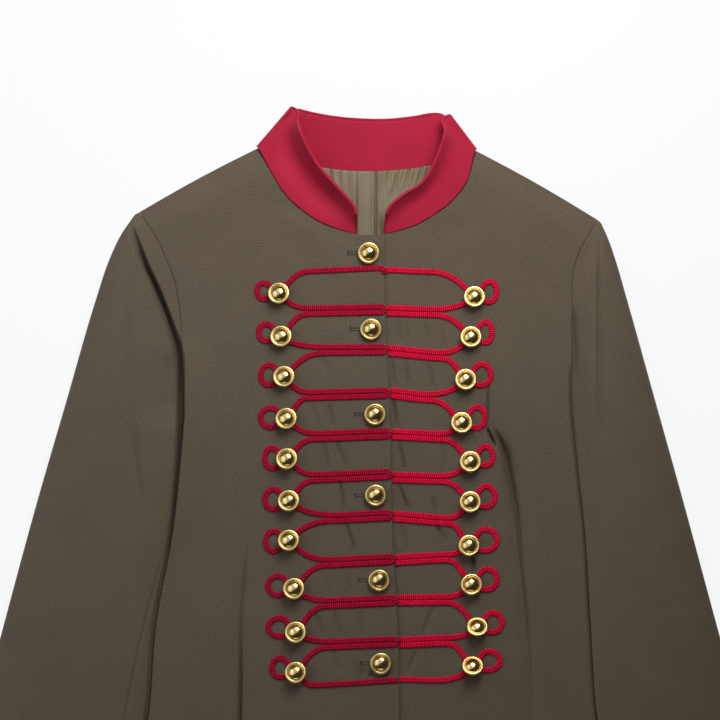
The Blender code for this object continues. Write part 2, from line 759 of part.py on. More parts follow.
def make_braid(side, front, finish):
    """One long braid: the lobes of all rows, joined by small turns at the front edge."""
    out = -1.0 if side == "left" else 1.0
    bands = [getattr(row, side + "_band") for row in FROGGING] + [LAST_BANDS[side]]
    from_edge = BRAID_START_CLEAR + BRAID_WIDTH / 2
    turns = [np.array([float(body("edge", y)) + out * from_edge, y]) for y in bands]
    half = BRAID_PITCH / 2
    path, second_crossings = [], []
    for index, row in enumerate(FROGGING):
        upper = turns[index] + [out * half, -half if index else 0]
        last = index == len(FROGGING) - 1
        lower = turns[index + 1] + [out * half, 0 if last else half]
        lobe, second = frog_path(side, row, upper, lower)
        second_crossings.append(len(path) + second)
        path.extend(lobe)
        if not last:
            path.append(turns[index + 1])
    path = np.array(path)
    along = np.gradient(path, axis=0)
    along /= np.hypot(*along.T)[:, None]
    aside = np.stack([-along[:, 1], along[:, 0]], axis=1) * BRAID_WIDTH / 2
    run = run_along(path)
    lift = np.zeros(len(path))
    for crossing in second_crossings:
        away = np.abs(run - run[crossing]) / CROSSING_REACH
        lift = np.maximum(lift, CROSSING_LIFT * ease((1 - away) * CROSSING_SHARPNESS))
    height = surface_reader(front)
    edges = []
    for points in (path + aside, path - aside):
        z = [height(x, y) for x, y in points]
        edges.append(np.column_stack([points, np.array(z) + BRAID_GAP + lift]))
    return sheet("braid_" + side, np.stack(edges), finish, BRAID_THICK, 1.0)


def surface_reader(target):
    """Returns a function that reads the outer face's height under a point, in millimetres."""
    bpy.context.view_layer.update()
    graph = bpy.context.evaluated_depsgraph_get()
    tree = BVHTree.FromObject(target, graph)

    def height(x, y):
        found = tree.ray_cast(Vector((x * MM, y * MM, 1.0)), Vector((0, 0, -1)))
        return found[0].z / MM

    return height


def button_mesh():
    """A domed button turned on a lathe: a coned back, a flat rim and a dome."""
    mesh = bpy.data.meshes.new("button")
    work = bmesh.new()
    points = [
        work.verts.new((turned.radius * BUTTON_RADIUS * MM, 0.0, turned.height * BUTTON_HEIGHT * MM))
        for turned in BUTTON_PROFILE
    ]
    lines = [work.edges.new(pair) for pair in zip(points, points[1:])]
    bmesh.ops.spin(
        work, geom=points + lines, cent=(0, 0, 0), axis=(0, 0, 1),
        angle=2 * math.pi, steps=BUTTON_STEPS, use_merge=True,
    )
    bmesh.ops.remove_doubles(work, verts=work.verts, dist=1e-6)
    bmesh.ops.recalc_face_normals(work, faces=work.faces)
    work.to_mesh(mesh)
    work.free()
    mesh.shade_smooth()
    return mesh


def place_button(name, mesh, x, y, z, tilt_x, tilt_y, finish):
    made = add_object(name, mesh.copy(), finish)
    made.location = (x * MM, y * MM, z * MM)
    made.rotation_euler = (math.radians(tilt_x), math.radians(tilt_y), 0.0)
    return made


def make_buttons(fronts, finish):
    mesh = button_mesh()
    heights = {side: surface_reader(front) for side, front in fronts.items()}
    for index, button in enumerate(CENTRE_BUTTONS):
        z = heights["left"](button.x, button.y) + BRAID_GAP
        place_button(f"centre_button_{index + 1}", mesh, button.x, button.y, z, 0, 0, finish)
    over_braid = BRAID_GAP + BRAID_THICK + CROSSING_LIFT + 2 * LAYER_GAP
    for side, sign in (("left", -1.0), ("right", 1.0)):
        for index, row in enumerate(FROGGING):
            x, y = getattr(row, side + "_x"), getattr(row, side + "_y")
            leans = side == "right" and index in LEANING_ROWS
            z = heights[side](x, y) + over_braid + (LEANING_EXTRA if leans else 0)
            tilt = LEANING_BUTTON_TILT if leans else SIDE_BUTTON_TILT
            name = f"{side}_button_{index + 1}"
            place_button(name, mesh, x, y, z, -tilt, sign * SIDE_BUTTON_ROLL, finish)
    bpy.data.meshes.remove(mesh)


def main():
    clear_scene()
    collection = bpy.data.collections.new("military_jacket")
    bpy.context.scene.collection.children.link(collection)
    twill = material("olive_twill", (0.098, 0.082, 0.057), 0.85)
    red_cloth = material("red_collar_cloth", (0.352, 0.018, 0.036), 0.85)
    satin = material("khaki_lining_satin", (0.190, 0.160, 0.085), 0.45)
    crimson = material("crimson_braid", (0.330, 0.010, 0.036), 0.75)
    gold = material("gold_plated_metal", (0.800, 0.600, 0.250), 0.22, 1.0)
    make_back(twill)
    make_neck_lining(satin)
    fronts = {side: make_front(side, twill) for side in ("left", "right")}
    for side in ("left", "right"):
        make_sleeve_under(side, twill)
        make_sleeve_top(side, twill)
    make_collar(red_cloth)
    for side, front in fronts.items():
        make_braid(side, front, crimson)
    make_buttons(fronts, gold)


main()
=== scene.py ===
# %% [markdown]
# A military-style jacket, laid flat on its back and seen from straight above. Every piece is worked
# out in millimetres from short tables and moved to metres when its mesh is made. X runs to the
# viewer's right, Y from the hem to the collar, and Z up out of the front. Left and right are the
# viewer's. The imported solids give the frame: each cloth piece here is a finer surface that takes the
# place of one of them.

# %% The frame
import json
import math
from collections import namedtuple

import bpy
import numpy as np
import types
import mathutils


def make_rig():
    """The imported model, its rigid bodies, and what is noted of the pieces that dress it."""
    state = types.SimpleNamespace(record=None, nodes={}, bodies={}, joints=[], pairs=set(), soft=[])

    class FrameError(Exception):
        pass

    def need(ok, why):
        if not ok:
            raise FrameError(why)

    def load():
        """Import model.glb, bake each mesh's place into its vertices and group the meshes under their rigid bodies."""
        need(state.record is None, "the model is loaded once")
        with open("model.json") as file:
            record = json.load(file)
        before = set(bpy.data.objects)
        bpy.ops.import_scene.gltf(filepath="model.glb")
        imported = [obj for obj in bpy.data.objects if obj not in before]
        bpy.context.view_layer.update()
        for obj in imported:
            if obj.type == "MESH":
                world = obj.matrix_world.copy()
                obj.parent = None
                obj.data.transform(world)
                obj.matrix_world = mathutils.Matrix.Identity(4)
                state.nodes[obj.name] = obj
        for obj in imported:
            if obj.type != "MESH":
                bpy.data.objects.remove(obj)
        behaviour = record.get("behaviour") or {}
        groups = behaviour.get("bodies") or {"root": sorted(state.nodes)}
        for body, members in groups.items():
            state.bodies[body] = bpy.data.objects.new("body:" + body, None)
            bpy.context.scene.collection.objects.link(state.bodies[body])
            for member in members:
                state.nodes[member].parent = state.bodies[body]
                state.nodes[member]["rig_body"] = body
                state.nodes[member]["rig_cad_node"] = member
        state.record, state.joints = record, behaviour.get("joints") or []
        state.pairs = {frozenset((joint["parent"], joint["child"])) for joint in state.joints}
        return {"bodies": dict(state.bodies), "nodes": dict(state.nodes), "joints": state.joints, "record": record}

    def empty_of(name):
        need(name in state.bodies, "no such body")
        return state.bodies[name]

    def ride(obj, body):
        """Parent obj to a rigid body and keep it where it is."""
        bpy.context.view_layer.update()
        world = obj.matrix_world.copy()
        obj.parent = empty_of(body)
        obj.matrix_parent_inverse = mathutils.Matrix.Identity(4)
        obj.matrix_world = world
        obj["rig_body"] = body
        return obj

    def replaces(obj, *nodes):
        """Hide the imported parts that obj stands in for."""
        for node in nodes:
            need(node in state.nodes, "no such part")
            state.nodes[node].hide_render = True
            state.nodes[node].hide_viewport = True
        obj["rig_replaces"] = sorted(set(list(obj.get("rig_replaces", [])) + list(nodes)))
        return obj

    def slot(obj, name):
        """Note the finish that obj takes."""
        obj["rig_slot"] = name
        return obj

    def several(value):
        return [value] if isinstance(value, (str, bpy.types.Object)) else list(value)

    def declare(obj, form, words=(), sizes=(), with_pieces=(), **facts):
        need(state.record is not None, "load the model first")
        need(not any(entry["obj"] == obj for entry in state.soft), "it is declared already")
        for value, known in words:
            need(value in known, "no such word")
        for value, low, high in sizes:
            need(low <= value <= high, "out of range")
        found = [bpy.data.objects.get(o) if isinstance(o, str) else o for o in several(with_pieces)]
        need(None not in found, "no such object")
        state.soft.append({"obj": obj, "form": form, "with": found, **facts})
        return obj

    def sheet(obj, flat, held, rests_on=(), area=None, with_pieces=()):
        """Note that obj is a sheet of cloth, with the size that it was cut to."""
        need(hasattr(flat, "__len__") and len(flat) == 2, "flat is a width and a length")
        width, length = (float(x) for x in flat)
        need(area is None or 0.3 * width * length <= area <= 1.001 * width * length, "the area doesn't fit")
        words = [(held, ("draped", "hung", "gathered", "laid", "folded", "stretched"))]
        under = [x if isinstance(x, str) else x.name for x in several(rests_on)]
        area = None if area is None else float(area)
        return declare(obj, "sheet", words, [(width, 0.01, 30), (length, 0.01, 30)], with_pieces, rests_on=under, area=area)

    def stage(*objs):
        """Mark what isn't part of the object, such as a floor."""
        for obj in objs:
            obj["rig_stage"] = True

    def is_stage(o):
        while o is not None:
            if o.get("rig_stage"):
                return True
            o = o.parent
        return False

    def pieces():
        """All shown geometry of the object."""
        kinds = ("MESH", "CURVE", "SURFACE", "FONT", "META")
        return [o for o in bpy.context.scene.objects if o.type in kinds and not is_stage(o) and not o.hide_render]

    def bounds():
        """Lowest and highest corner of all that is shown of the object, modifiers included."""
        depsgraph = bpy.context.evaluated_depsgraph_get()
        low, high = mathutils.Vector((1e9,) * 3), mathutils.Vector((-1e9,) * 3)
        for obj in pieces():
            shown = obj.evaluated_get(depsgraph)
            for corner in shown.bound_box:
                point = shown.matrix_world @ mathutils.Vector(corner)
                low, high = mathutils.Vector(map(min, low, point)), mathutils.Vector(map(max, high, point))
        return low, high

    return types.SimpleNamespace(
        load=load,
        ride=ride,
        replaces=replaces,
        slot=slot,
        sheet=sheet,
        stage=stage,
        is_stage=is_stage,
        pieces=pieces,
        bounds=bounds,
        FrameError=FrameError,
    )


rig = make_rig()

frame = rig.load()
cad_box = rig.bounds()
print("The solids span", [round(1000 * (b - a), 1) for a, b in zip(*cad_box)], "mm")

# %% [markdown]
# Three small helpers do most of the work. A short table of given values becomes a smooth line
# through `smooth_between`, which is cheaper to read and to change than a long list of points. `ease`
# starts and ends a fold softly, and `points_at` walks along a chain of points by its real length.

# %% Smooth lines through short tables
MM = 0.001
RIGHT_ANGLE = math.pi / 2


def ease(value):
    """Rises from 0 to 1 with level ends: 3 v squared minus 2 v cubed."""
    held = np.clip(value, 0.0, 1.0)
    return held * held * (3.0 - 2.0 * held)


def smooth_between(places, values, at):
    """A cubic on each gap of the table, with the slope at each place taken from its neighbours."""
    places, values = np.asarray(places, float), np.asarray(values, float)
    order = np.argsort(places)
    places, values = places[order], values[order]
    slopes = np.gradient(values, places, axis=0)
    at = np.clip(np.asarray(at, float), places[0], places[-1])
    cell = np.clip(np.searchsorted(places, at, side="right") - 1, 0, len(places) - 2)
    width = places[cell + 1] - places[cell]
    part = (at - places[cell]) / width
    if values.ndim == 2:
        width, part = width[..., None], part[..., None]
    square, cube = part**2, part**3
    return (
        values[cell] * (2 * cube - 3 * square + 1)
        + slopes[cell] * width * (cube - 2 * square + part)
        + values[cell + 1] * (3 * square - 2 * cube)
        + slopes[cell + 1] * width * (cube - square)
    )


def read(table, place, name, at):
    """The column `name` of a table as a smooth line over its column `place`."""
    rows = [(getattr(row, place), getattr(row, name)) for row in table]
    return smooth_between(*zip(*rows), at)


def run_along(points):
    """The length of a chain of points up to each of them."""
    steps = np.linalg.norm(np.diff(np.asarray(points, float), axis=0), axis=1)
    return np.concatenate([[0.0], np.cumsum(steps)])


def points_at(points, distances):
    """The places at given distances along a chain, on the smooth line through its points."""
    return smooth_between(run_along(points), np.asarray(points, float), distances)


def moved_aside(points, amount):
    """A chain of points moved to its left by an amount, seen from above."""
    along = np.gradient(np.asarray(points, float), axis=0)
    along /= np.linalg.norm(along, axis=1)[:, None]
    return points + amount * np.stack([-along[:, 1], along[:, 0]], axis=1)


# %% [markdown]
# On the real jacket a front, a sleeve half or the collar is one flat piece of cloth, so each is one
# grid of points here: rows run across the piece and columns along it. The grid becomes a mesh of
# quads in one go, and Solidify gives it the thickness of the cloth with its lining. The UV map holds
# millimetres on the cloth, so a weave keeps its real scale and follows the piece.

# %% A grid of points becomes a piece of cloth
WALL = 1.5
UNDER_WALL = 1.2
COLLAR_WALL = 2.4
LINING_WALL = 1.0


def grid_faces(rows, columns):
    """The four corners of each cell, as numbers of points that run row by row."""
    first = np.arange(rows - 1)[:, None] * columns + np.arange(columns - 1)[None]
    return np.stack([first, first + 1, first + columns + 1, first + columns], axis=-1).reshape(-1, 4)


def mesh_of(name, points, faces, cloth_mm, finish):
    """A smooth-shaded mesh from points in millimetres, with the place on the cloth as its UV map."""
    mesh = bpy.data.meshes.new(name)
    mesh.from_pydata((points * MM).tolist(), [], [list(face) for face in faces])
    uv = mesh.uv_layers.new(name="cloth")
    corners = np.empty(len(mesh.loops), np.int32)
    mesh.loops.foreach_get("vertex_index", corners)
    uv.data.foreach_set("uv", cloth_mm[corners].astype(np.float32).ravel())
    mesh.shade_smooth()
    mesh.materials.append(finish)
    piece = bpy.data.objects.new(name, mesh)
    bpy.context.scene.collection.objects.link(piece)
    return piece


def dress(piece, slot, *nodes):
    """The piece rides on the jacket's one body and stands for its solids."""
    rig.ride(piece, "root")
    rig.slot(piece, slot)
    if nodes:
        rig.replaces(piece, *nodes)
    triangles = sum(len(face.vertices) - 2 for face in piece.data.polygons)
    print(f"{piece.name}: {triangles} triangles before its wall")
    return piece


def flat_area(points):
    """The area of a grid surface in square metres: half the cross product of each cell's diagonals."""
    one = points[1:, 1:] - points[:-1, :-1]
    other = points[:-1, 1:] - points[1:, :-1]
    return np.linalg.norm(np.cross(one, other), axis=-1).sum() / 2 * MM * MM


def cloth(name, points, finish, slot, nodes, wall, offset, cloth_mm=None, face_up=True):
    """One sheet of cloth from a grid of points, thickened away from its outer face.

    The cross product of two sides of the middle cell says which way the grid faces, and the faces are
    turned round where the cloth faces the other way.
    """
    rows, columns = points.shape[:2]
    faces = grid_faces(rows, columns)
    corner = points[rows // 2, columns // 2]
    down = points[rows // 2 + 1, columns // 2] - corner
    across = points[rows // 2, columns // 2 + 1] - corner
    if (np.cross(down, across)[2] < 0) != face_up:
        faces = faces[:, ::-1]
    if cloth_mm is None:
        cloth_mm = points[..., :2]
    piece = mesh_of(name, points.reshape(-1, 3), faces, cloth_mm.reshape(-1, 2), finish)
    thicken = piece.modifiers.new("Wall", "SOLIDIFY")
    thicken.thickness = wall * MM
    thicken.offset = offset
    print(f"{name}: {flat_area(points):.4f} square metres of cloth")
    return dress(piece, slot, *nodes)


# %% [markdown]
# Cloth drags and dents where it is held: beside the buttons, over the bust and at the armholes. Each
# such mark is one row of a table: a line from one point to another with a bow, a depth and a width.
# The mark is a trough with a faint swelling on both sides, deepest at its middle. A minus depth makes
# a ridge.

# %% Listed creases
Crease = namedtuple("Crease", "x0 y0 x1 y1 bow depth width")


def creased(x, y, creases):
    """Sum of depth times (half the squared distance over the width, less 1) times a bell curve."""
    total = np.zeros(np.broadcast(x, y).shape)
    for mark in creases:
        run = np.array([mark.x1 - mark.x0, mark.y1 - mark.y0])
        length = np.hypot(*run)
        along = ((x - mark.x0) * run[0] + (y - mark.y0) * run[1]) / length**2
        aside = ((x - mark.x0) * run[1] - (y - mark.y0) * run[0]) / length
        aside = (aside - mark.bow * (1 - (2 * along - 1) ** 2)) / mark.width
        ends = ease(along / 0.3) * ease((1 - along) / 0.3)
        total += mark.depth * ends * (0.5 * aside**2 - 1) * np.exp(-(aside**2))
    return total


# %% [markdown]
# Colours are written as sRGB hex values, as a colour picker gives them, and one function turns them
# to the linear values that the shader wants. One more function adds any node with its settings and
# links, which keeps each material short enough to read as a recipe.

# %% Colour and node helpers


def linear(code):
    """sRGB hex to linear: the 2.4 power with a straight part near black."""
    parts = np.array([int(code[i : i + 2], 16) / 255 for i in (1, 3, 5)])
    low, high = parts / 12.92, ((parts + 0.055) / 1.055) ** 2.4
    return (*np.where(parts <= 0.04045, low, high), 1.0)


def new_material(name, roughness, **settings):
    """A material and its shader, with sockets set by name and an underscore for each space."""
    made = bpy.data.materials.new(name)
    made.use_nodes = True
    shader = made.node_tree.nodes["Principled BSDF"]
    shader.inputs["Roughness"].default_value = roughness
    for key, value in settings.items():
        shader.inputs[key.replace("_", " ")].default_value = value
    return made, shader


def add(finish, kind, inputs=None, output=0, **settings):
    """Adds one node with its settings, fills its inputs with values or links, and returns an output."""
    node = finish.node_tree.nodes.new("ShaderNode" + kind)
    for key, value in settings.items():
        setattr(node, key, value)
    for key, value in (inputs or {}).items():
        if isinstance(value, bpy.types.NodeSocket):
            finish.node_tree.links.new(value, node.inputs[key])
        else:
            node.inputs[key].default_value = value
    return node.outputs[output]


def plug(finish, output, shader, name):
    """Links an output to one of the shader's sockets."""
    finish.node_tree.links.new(output, shader.inputs[name])


def blend_colours(finish, factor, first, second):
    """A mix of two hex colours or colour outputs by a factor from 0 to 1."""
    ends = [linear(end) if isinstance(end, str) else end for end in (first, second)]
    return add(finish, "Mix", {0: factor, 6: ends[0], 7: ends[1]}, 2, data_type="RGBA")


def bump(finish, shader, height, depth_mm, strength=1.0):
    """Tilts the light by a height output, as if it were that many millimetres deep."""
    settings = {"Height": height, "Distance": depth_mm * MM, "Strength": strength}
    plug(finish, add(finish, "Bump", settings), shader, "Normal")


# %% [markdown]
# The jacket's cloth is a matt wool-blend twill in olive. Its threads lie about half a millimetre
# apart, too fine to show at this distance, so the twill lines are drawn 1.7 mm apart, as coarse as
# they need to be. A fine noise stands for the fibres, a broad one for the uneven dye, and a little
# sheen for the bloom that lightens the cloth where it turns away. A wave texture repeats every tenth of
# pi at a scale of 1, which gives the scale for a spacing in millimetres.

# %% Olive twill
TWILL_LINE_MM = 1.7
WAVE_PERIOD = math.pi / 10


def twill_cloth(name, dark, light, sheen):
    """Dark to light by a little of the wave, plus the fibre noise, plus a little of the dye noise."""
    finish, shader = new_material(
        name, 0.86, Sheen_Weight=sheen, Sheen_Roughness=0.45, Specular_IOR_Level=0.25
    )
    place = add(finish, "UVMap", uv_map="cloth")
    wave = add(
        finish,
        "TexWave",
        {
            "Vector": add(finish, "Mapping", {0: place, 2: (0, 0, math.radians(8))}),
            "Scale": WAVE_PERIOD / TWILL_LINE_MM,
            "Distortion": 1.6,
            "Detail": 2.0,
            "Detail Scale": 1.2,
        },
        1,
        bands_direction="Y",
    )
    fibre = add(finish, "TexNoise", {"Vector": place, "Scale": 0.8, "Detail": 2.0, "Roughness": 0.7})
    cloud = add(finish, "TexNoise", {"Vector": place, "Scale": 0.03, "Detail": 2.0})
    grain = add(finish, "Math", {0: wave, 1: 0.16, 2: fibre}, operation="MULTIPLY_ADD")
    factor = add(finish, "Math", {0: cloud, 1: 0.14, 2: grain}, operation="MULTIPLY_ADD")
    spread = add(finish, "MapRange", {0: factor, 1: 0.43, 2: 0.88})
    plug(finish, blend_colours(finish, spread, dark, light), shader, "Base Color")
    bump(finish, shader, grain, 0.2, 0.5)
    return finish


olive_twill = twill_cloth("Olive wool-blend twill", "#433b2f", "#5d5344", 0.06)

# %% [markdown]
# The collar is a closely woven red cloth, matt and a little softer than the twill. Its threads are
# drawn as a fine plain weave: two sets of lines that cross.

# %% Red collar cloth
WEAVE_LINE_MM = 1.5


def plain_weave(name, dark, light, sheen):
    """Dark to light by the product of two crossing waves, plus the fibre noise and the dye noise."""
    finish, shader = new_material(
        name, 0.8, Sheen_Weight=sheen, Sheen_Roughness=0.4, Specular_IOR_Level=0.25
    )
    place = add(finish, "UVMap", uv_map="cloth")
    lines = [
        add(
            finish,
            "TexWave",
            {"Vector": place, "Scale": WAVE_PERIOD / WEAVE_LINE_MM, "Distortion": 1.0, "Detail": 1.0},
            1,
            bands_direction=axis,
        )
        for axis in "XY"
    ]
    weave = add(finish, "Math", {0: lines[0], 1: lines[1]}, operation="MULTIPLY")
    fibre = add(finish, "TexNoise", {"Vector": place, "Scale": 0.7, "Detail": 3.0})
    cloud = add(finish, "TexNoise", {"Vector": place, "Scale": 0.04, "Detail": 2.0})
    grain = add(finish, "Math", {0: weave, 1: 0.35, 2: fibre}, operation="MULTIPLY_ADD")
    factor = add(finish, "Math", {0: cloud, 1: 0.5, 2: grain}, operation="MULTIPLY_ADD")
    spread = add(finish, "MapRange", {0: factor, 1: 0.45, 2: 1.2})
    plug(finish, blend_colours(finish, spread, dark, light), shader, "Base Color")
    bump(finish, shader, grain, 0.18, 0.5)
    return finish


red_cloth = plain_weave("Red collar cloth", "#8e0e28", "#a61636", 0.03)

# %% [markdown]
# The lining is a khaki satin. Its threads float on the face, so it shines more than the cloth, in
# soft bands that run with its length. Its gloss is real; the bands also lighten and darken its colour,
# and that part is painted sheen.

# %% Khaki satin
satin, satin_shader = new_material(
    "Khaki lining satin", 0.42, Sheen_Weight=0.08, Sheen_Roughness=0.35, Specular_IOR_Level=0.5
)
satin_place = add(satin, "UVMap", uv_map="cloth")
sheen_streaks = add(
    satin,
    "TexNoise",
    {"Vector": add(satin, "Mapping", {0: satin_place, 3: (0.9, 0.05, 1)}), "Scale": 1.0, "Detail": 3.0},
)
# Painted sheen: the streak noise lightens and darkens the base colour; the bump from it is real shape.
plug(satin, blend_colours(satin, sheen_streaks, "#574c37", "#7a6e54"), satin_shader, "Base Color")
bump(satin, satin_shader, sheen_streaks, 0.12, 0.5)

# %% [markdown]
# The frogging is a flat wool braid: two cords laid side by side and wrapped with a crimson thread,
# so it has ribs across it and a groove down its middle. The ribs are real shape here; the colour
# only darkens the furrows between them, where little light gets in, as painted shade. The braid on
# the left half is the same braid as on the right, painted a deeper crimson as shade over that half.

# %% Crimson braid
RIB_MM = 1.7
RIB_SLANT = 0.3


def braid_finish(name, furrow, rib):
    """Furrow to rib by the cosine of a turn for each rib along the braid, less the slant aside."""
    finish, shader = new_material(name, 0.8, Specular_IOR_Level=0.12)
    place = add(finish, "UVMap", uv_map="cloth")
    along = add(finish, "SeparateXYZ", {0: place})
    aside = add(finish, "Math", {0: along.node.outputs[1]}, operation="ABSOLUTE")
    slant = add(finish, "Math", {0: aside, 1: -RIB_SLANT, 2: along}, operation="MULTIPLY_ADD")
    turn = add(finish, "Math", {0: slant, 1: 2 * math.pi}, operation="MULTIPLY")
    ribs = add(finish, "Math", {0: turn}, operation="COSINE")
    thread = add(finish, "TexNoise", {"Vector": place, "Scale": 5.0})
    shade = add(finish, "MapRange", {0: ribs, 1: -0.75, 2: 0.35})
    uneven = add(finish, "Math", {0: thread, 1: 0.5, 2: shade}, operation="MULTIPLY_ADD")
    factor = add(finish, "MapRange", {0: uneven, 1: 0.2, 2: 1.25})
    plug(finish, blend_colours(finish, factor, furrow, rib), shader, "Base Color")
    bump(finish, shader, thread, 0.1, 0.3)
    return finish


# Painted shade: the left copy is darker throughout, though it is the same braid as the right one, and in both copies
# the furrow colour is painted shade.
crimson = {
    "left": braid_finish("Deep crimson wool braid", "#220008", "#b80834"),
    "right": braid_finish("Bright crimson wool braid", "#34000c", "#e60a3c"),
}

# %% [markdown]
# The buttons are stamped brass with a thin, pale gold plating. There are two finishes: polished for
# the dome, and rougher and paler for the rim, where it rubs. A faint unevenness keeps the
# reflections from looking perfect. The buttonholes are worked in a dark thread.

# %% Gold plating


def plating(name, colour, roughness):
    """A metal whose roughness wanders a little round its value by a noise."""
    finish, shader = new_material(name, roughness, Metallic=1.0)
    place = add(finish, "TexCoord", output=3)
    wear = add(finish, "TexNoise", {"Vector": place, "Scale": 90.0, "Detail": 1.0})
    low, high = roughness * 0.92, roughness * 1.1
    rough = add(finish, "MapRange", {0: wear, 1: 0.3, 2: 0.7, 3: low, 4: high})
    plug(finish, rough, shader, "Roughness")
    shader.inputs["Base Color"].default_value = linear(colour)
    return finish


gold = plating("Polished pale gold plating", "#d2b87a", 0.19)
soft_gold = plating("Rubbed pale gold plating", "#d8c284", 0.36)
dark_thread = new_material("Dark buttonhole thread", 0.8)[0]
dark_thread.node_tree.nodes["Principled BSDF"].inputs["Base Color"].default_value = linear("#2b261d")
print("Finishes:", [finish.name for finish in bpy.data.materials if finish.users])

# %% [markdown]
# The body's outline is a table of levels from the hem to the neck. Each level gives the side seam,
# the line where the sleeve or the body's own edge hides the front, the long fold of the dart, and the
# front edge. A second table says how high the front stands there and how deep its folds are.

# %% The body's tables
HEM_Y = -350.0
HEM_HALF_WIDTH = 236.0
UNDERARM_Y = 80.0
NECK_Y = 238.0
MARGIN_TOP = 3.0
OVERLAP = 30.0
OVERLAP_LIFT = 2.3
SEAM_HALF_GAP = 0.06

Level = namedtuple("Level", "y left_side left_line left_dart edge right_dart right_line right_side")
BODY = [
    Level(-350, -232, -229, -112, 28.0, 153, 233, 236),
    Level(-260, -212, -209, -111, 28.0, 150, 214, 217),
    Level(-178, -200, -190, -109, 28.0, 145.5, 198.5, 209),
    Level(-96, -195, -183, -107.5, 26.5, 138, 192.5, 205),
    Level(-15, -200, -168, -101, 22.0, 129.5, 187.5, 208),
    Level(54, -207, -160.5, -100, 20.5, 118.5, 180.0, 212),
    Level(80, -211, -158.5, -99, 20.0, 109, 177.5, 214),
    Level(104, -211, -158, -98, 19.0, 105, 176.3, 214),
    Level(140, -211, -158, -98, 17.0, 105, 176, 214),
    Level(238, -211, -158, -98, 14.5, 105, 176, 214),
]
Rise = namedtuple("Rise", "y height left_fold right_fold")
RISES = [
    Rise(-350, 5.0, 1.5, 1.2),
    Rise(-178, 7.5, 1.6, 1.6),
    Rise(-96, 8.5, 1.1, 2.0),
    Rise(-15, 9.5, 0.3, 2.8),
    Rise(45, 11.8, 0.0, 4.0),
    Rise(75, 12.5, 0.0, 2.4),
    Rise(110, 12.5, 0.0, 0.2),
    Rise(180, 10.0, 0.0, 0.0),
    Rise(320, 8.5, 0.0, 0.0),
]
Point = namedtuple("Point", "x y")
ARMHOLES = {
    "left": [
        Point(-196.6, 258.8), Point(-188.5, 247), Point(-179, 232), Point(-171, 214),
        Point(-164.5, 195), Point(-160, 161), Point(-158, 130), Point(-158.2, 97),
    ],
    "right": [
        Point(198.6, 252.6), Point(193.5, 243.5), Point(186, 230), Point(179.5, 215),
        Point(176.5, 199), Point(176, 170), Point(176, 130), Point(176.4, 97),
    ],
}
BACK_ARMHOLES = {
    "left": [
        Point(-197, 258), Point(-191, 235), Point(-188, 205), Point(-188, 170),
        Point(-192, 130), Point(-200, 100), Point(-211, 80),
    ],
    "right": [
        Point(199, 251.5), Point(193, 230), Point(190.5, 205), Point(190.5, 170),
        Point(194.5, 130), Point(202.5, 100), Point(214, 80),
    ],
}
Ruling = namedtuple("Ruling", "x y top_x top_y")
COLLAR = {
    "left": [
        Ruling(-9.5, 239.5, -9.0, 262.0), Ruling(-26, 244.0, -24.0, 278.5),
        Ruling(-42, 250.5, -35.5, 291.0), Ruling(-57.5, 261.0, -45.0, 303.5),
        Ruling(-71, 274.0, -52.5, 317.5), Ruling(-83, 293.5, -59.0, 334.0),
        Ruling(-94.5, 314.0, -61.2, 349.0),
    ],
    "right": [
        Ruling(15.0, 239.5, 17.0, 262.0), Ruling(28, 242.5, 31.0, 273.5),
        Ruling(44, 248.0, 45.5, 282.5), Ruling(60, 257.5, 55.5, 296.5),
        Ruling(74, 268.5, 61.5, 311.0), Ruling(86, 284.5, 66.5, 327.0),
        Ruling(94.0, 312.0, 67.5, 342.6),
    ],
}
BACK_COLLAR = [
    Ruling(-90, 311.5, -57.0, 347.8), Ruling(-70, 304.0, -46.0, 345.0),
    Ruling(-42, 298.0, -26.0, 341.5), Ruling(-14, 294.5, -2.0, 339.5), Ruling(14, 294.5, 20.0, 339.5),
    Ruling(42, 297.0, 42.0, 342.0), Ruling(70, 303.0, 55.0, 344.3),
    Ruling(89.5, 310.0, 63.5, 343.9),
]
COLLAR_OFFSET = 0.8
SEAM_SINK = 1.0

# %% [markdown]
# The outer face of the fronts is one height field for both: a soft plateau that rolls down to the
# side lines and the shoulders, with a trough along each dart. On the real jacket the left front lies
# over the right one, so it is lifted towards its edge. Beside the left sleeve the front stands up
# sharp over a deep fold, so its roll is narrow, and the right one is rounder. From the underarm up
# each front holds its height as far as the armhole seam.

# %% How high the fronts stand
ROLL_START = {"left": 0.3, "right": -1.0}
ROLL_WIDTH = {"left": 1.7, "right": 4.5}
HOLD_FROM = {"left": 106.0, "right": 95.0}
HOLD_REACH = 40.0
EDGE_RISE = {"left": 5.0, "right": 0.0}
EDGE_RISE_WIDTH = 18.0
EDGE_RISE_FOOT, EDGE_RISE_FOOT_REACH = -60.0, 70.0
EDGE_RISE_TOP, EDGE_RISE_TOP_REACH = 160.0, 40.0
SHOULDER_ROLL = 24.0
DART_WIDTH = 7.0
CROWN_FALL = 0.22
CROWN_HALF_WIDTH = 190.0
STANDING_REACH = 4.0
LAP_HOLD = 3.0
LAP_REACH = 90.0
SEAM_GROOVE = 0.55
SEAM_ENDS = {"left": 150.0, "right": 190.0}
SEAM_FADE = 30.0
SEAM_WIDTH = 1.1
ARMHOLE_END_Y = 99.0
FAR_AWAY = 99.0

# %% [markdown]
# Two tables hold the marks in the fronts. The creases are short and straight, and spread from the
# buttons. The long lines follow the darts and the pale fold beside the left one: each is a groove
# whose place, depth and width change down the front, and a minus depth makes it a ridge.

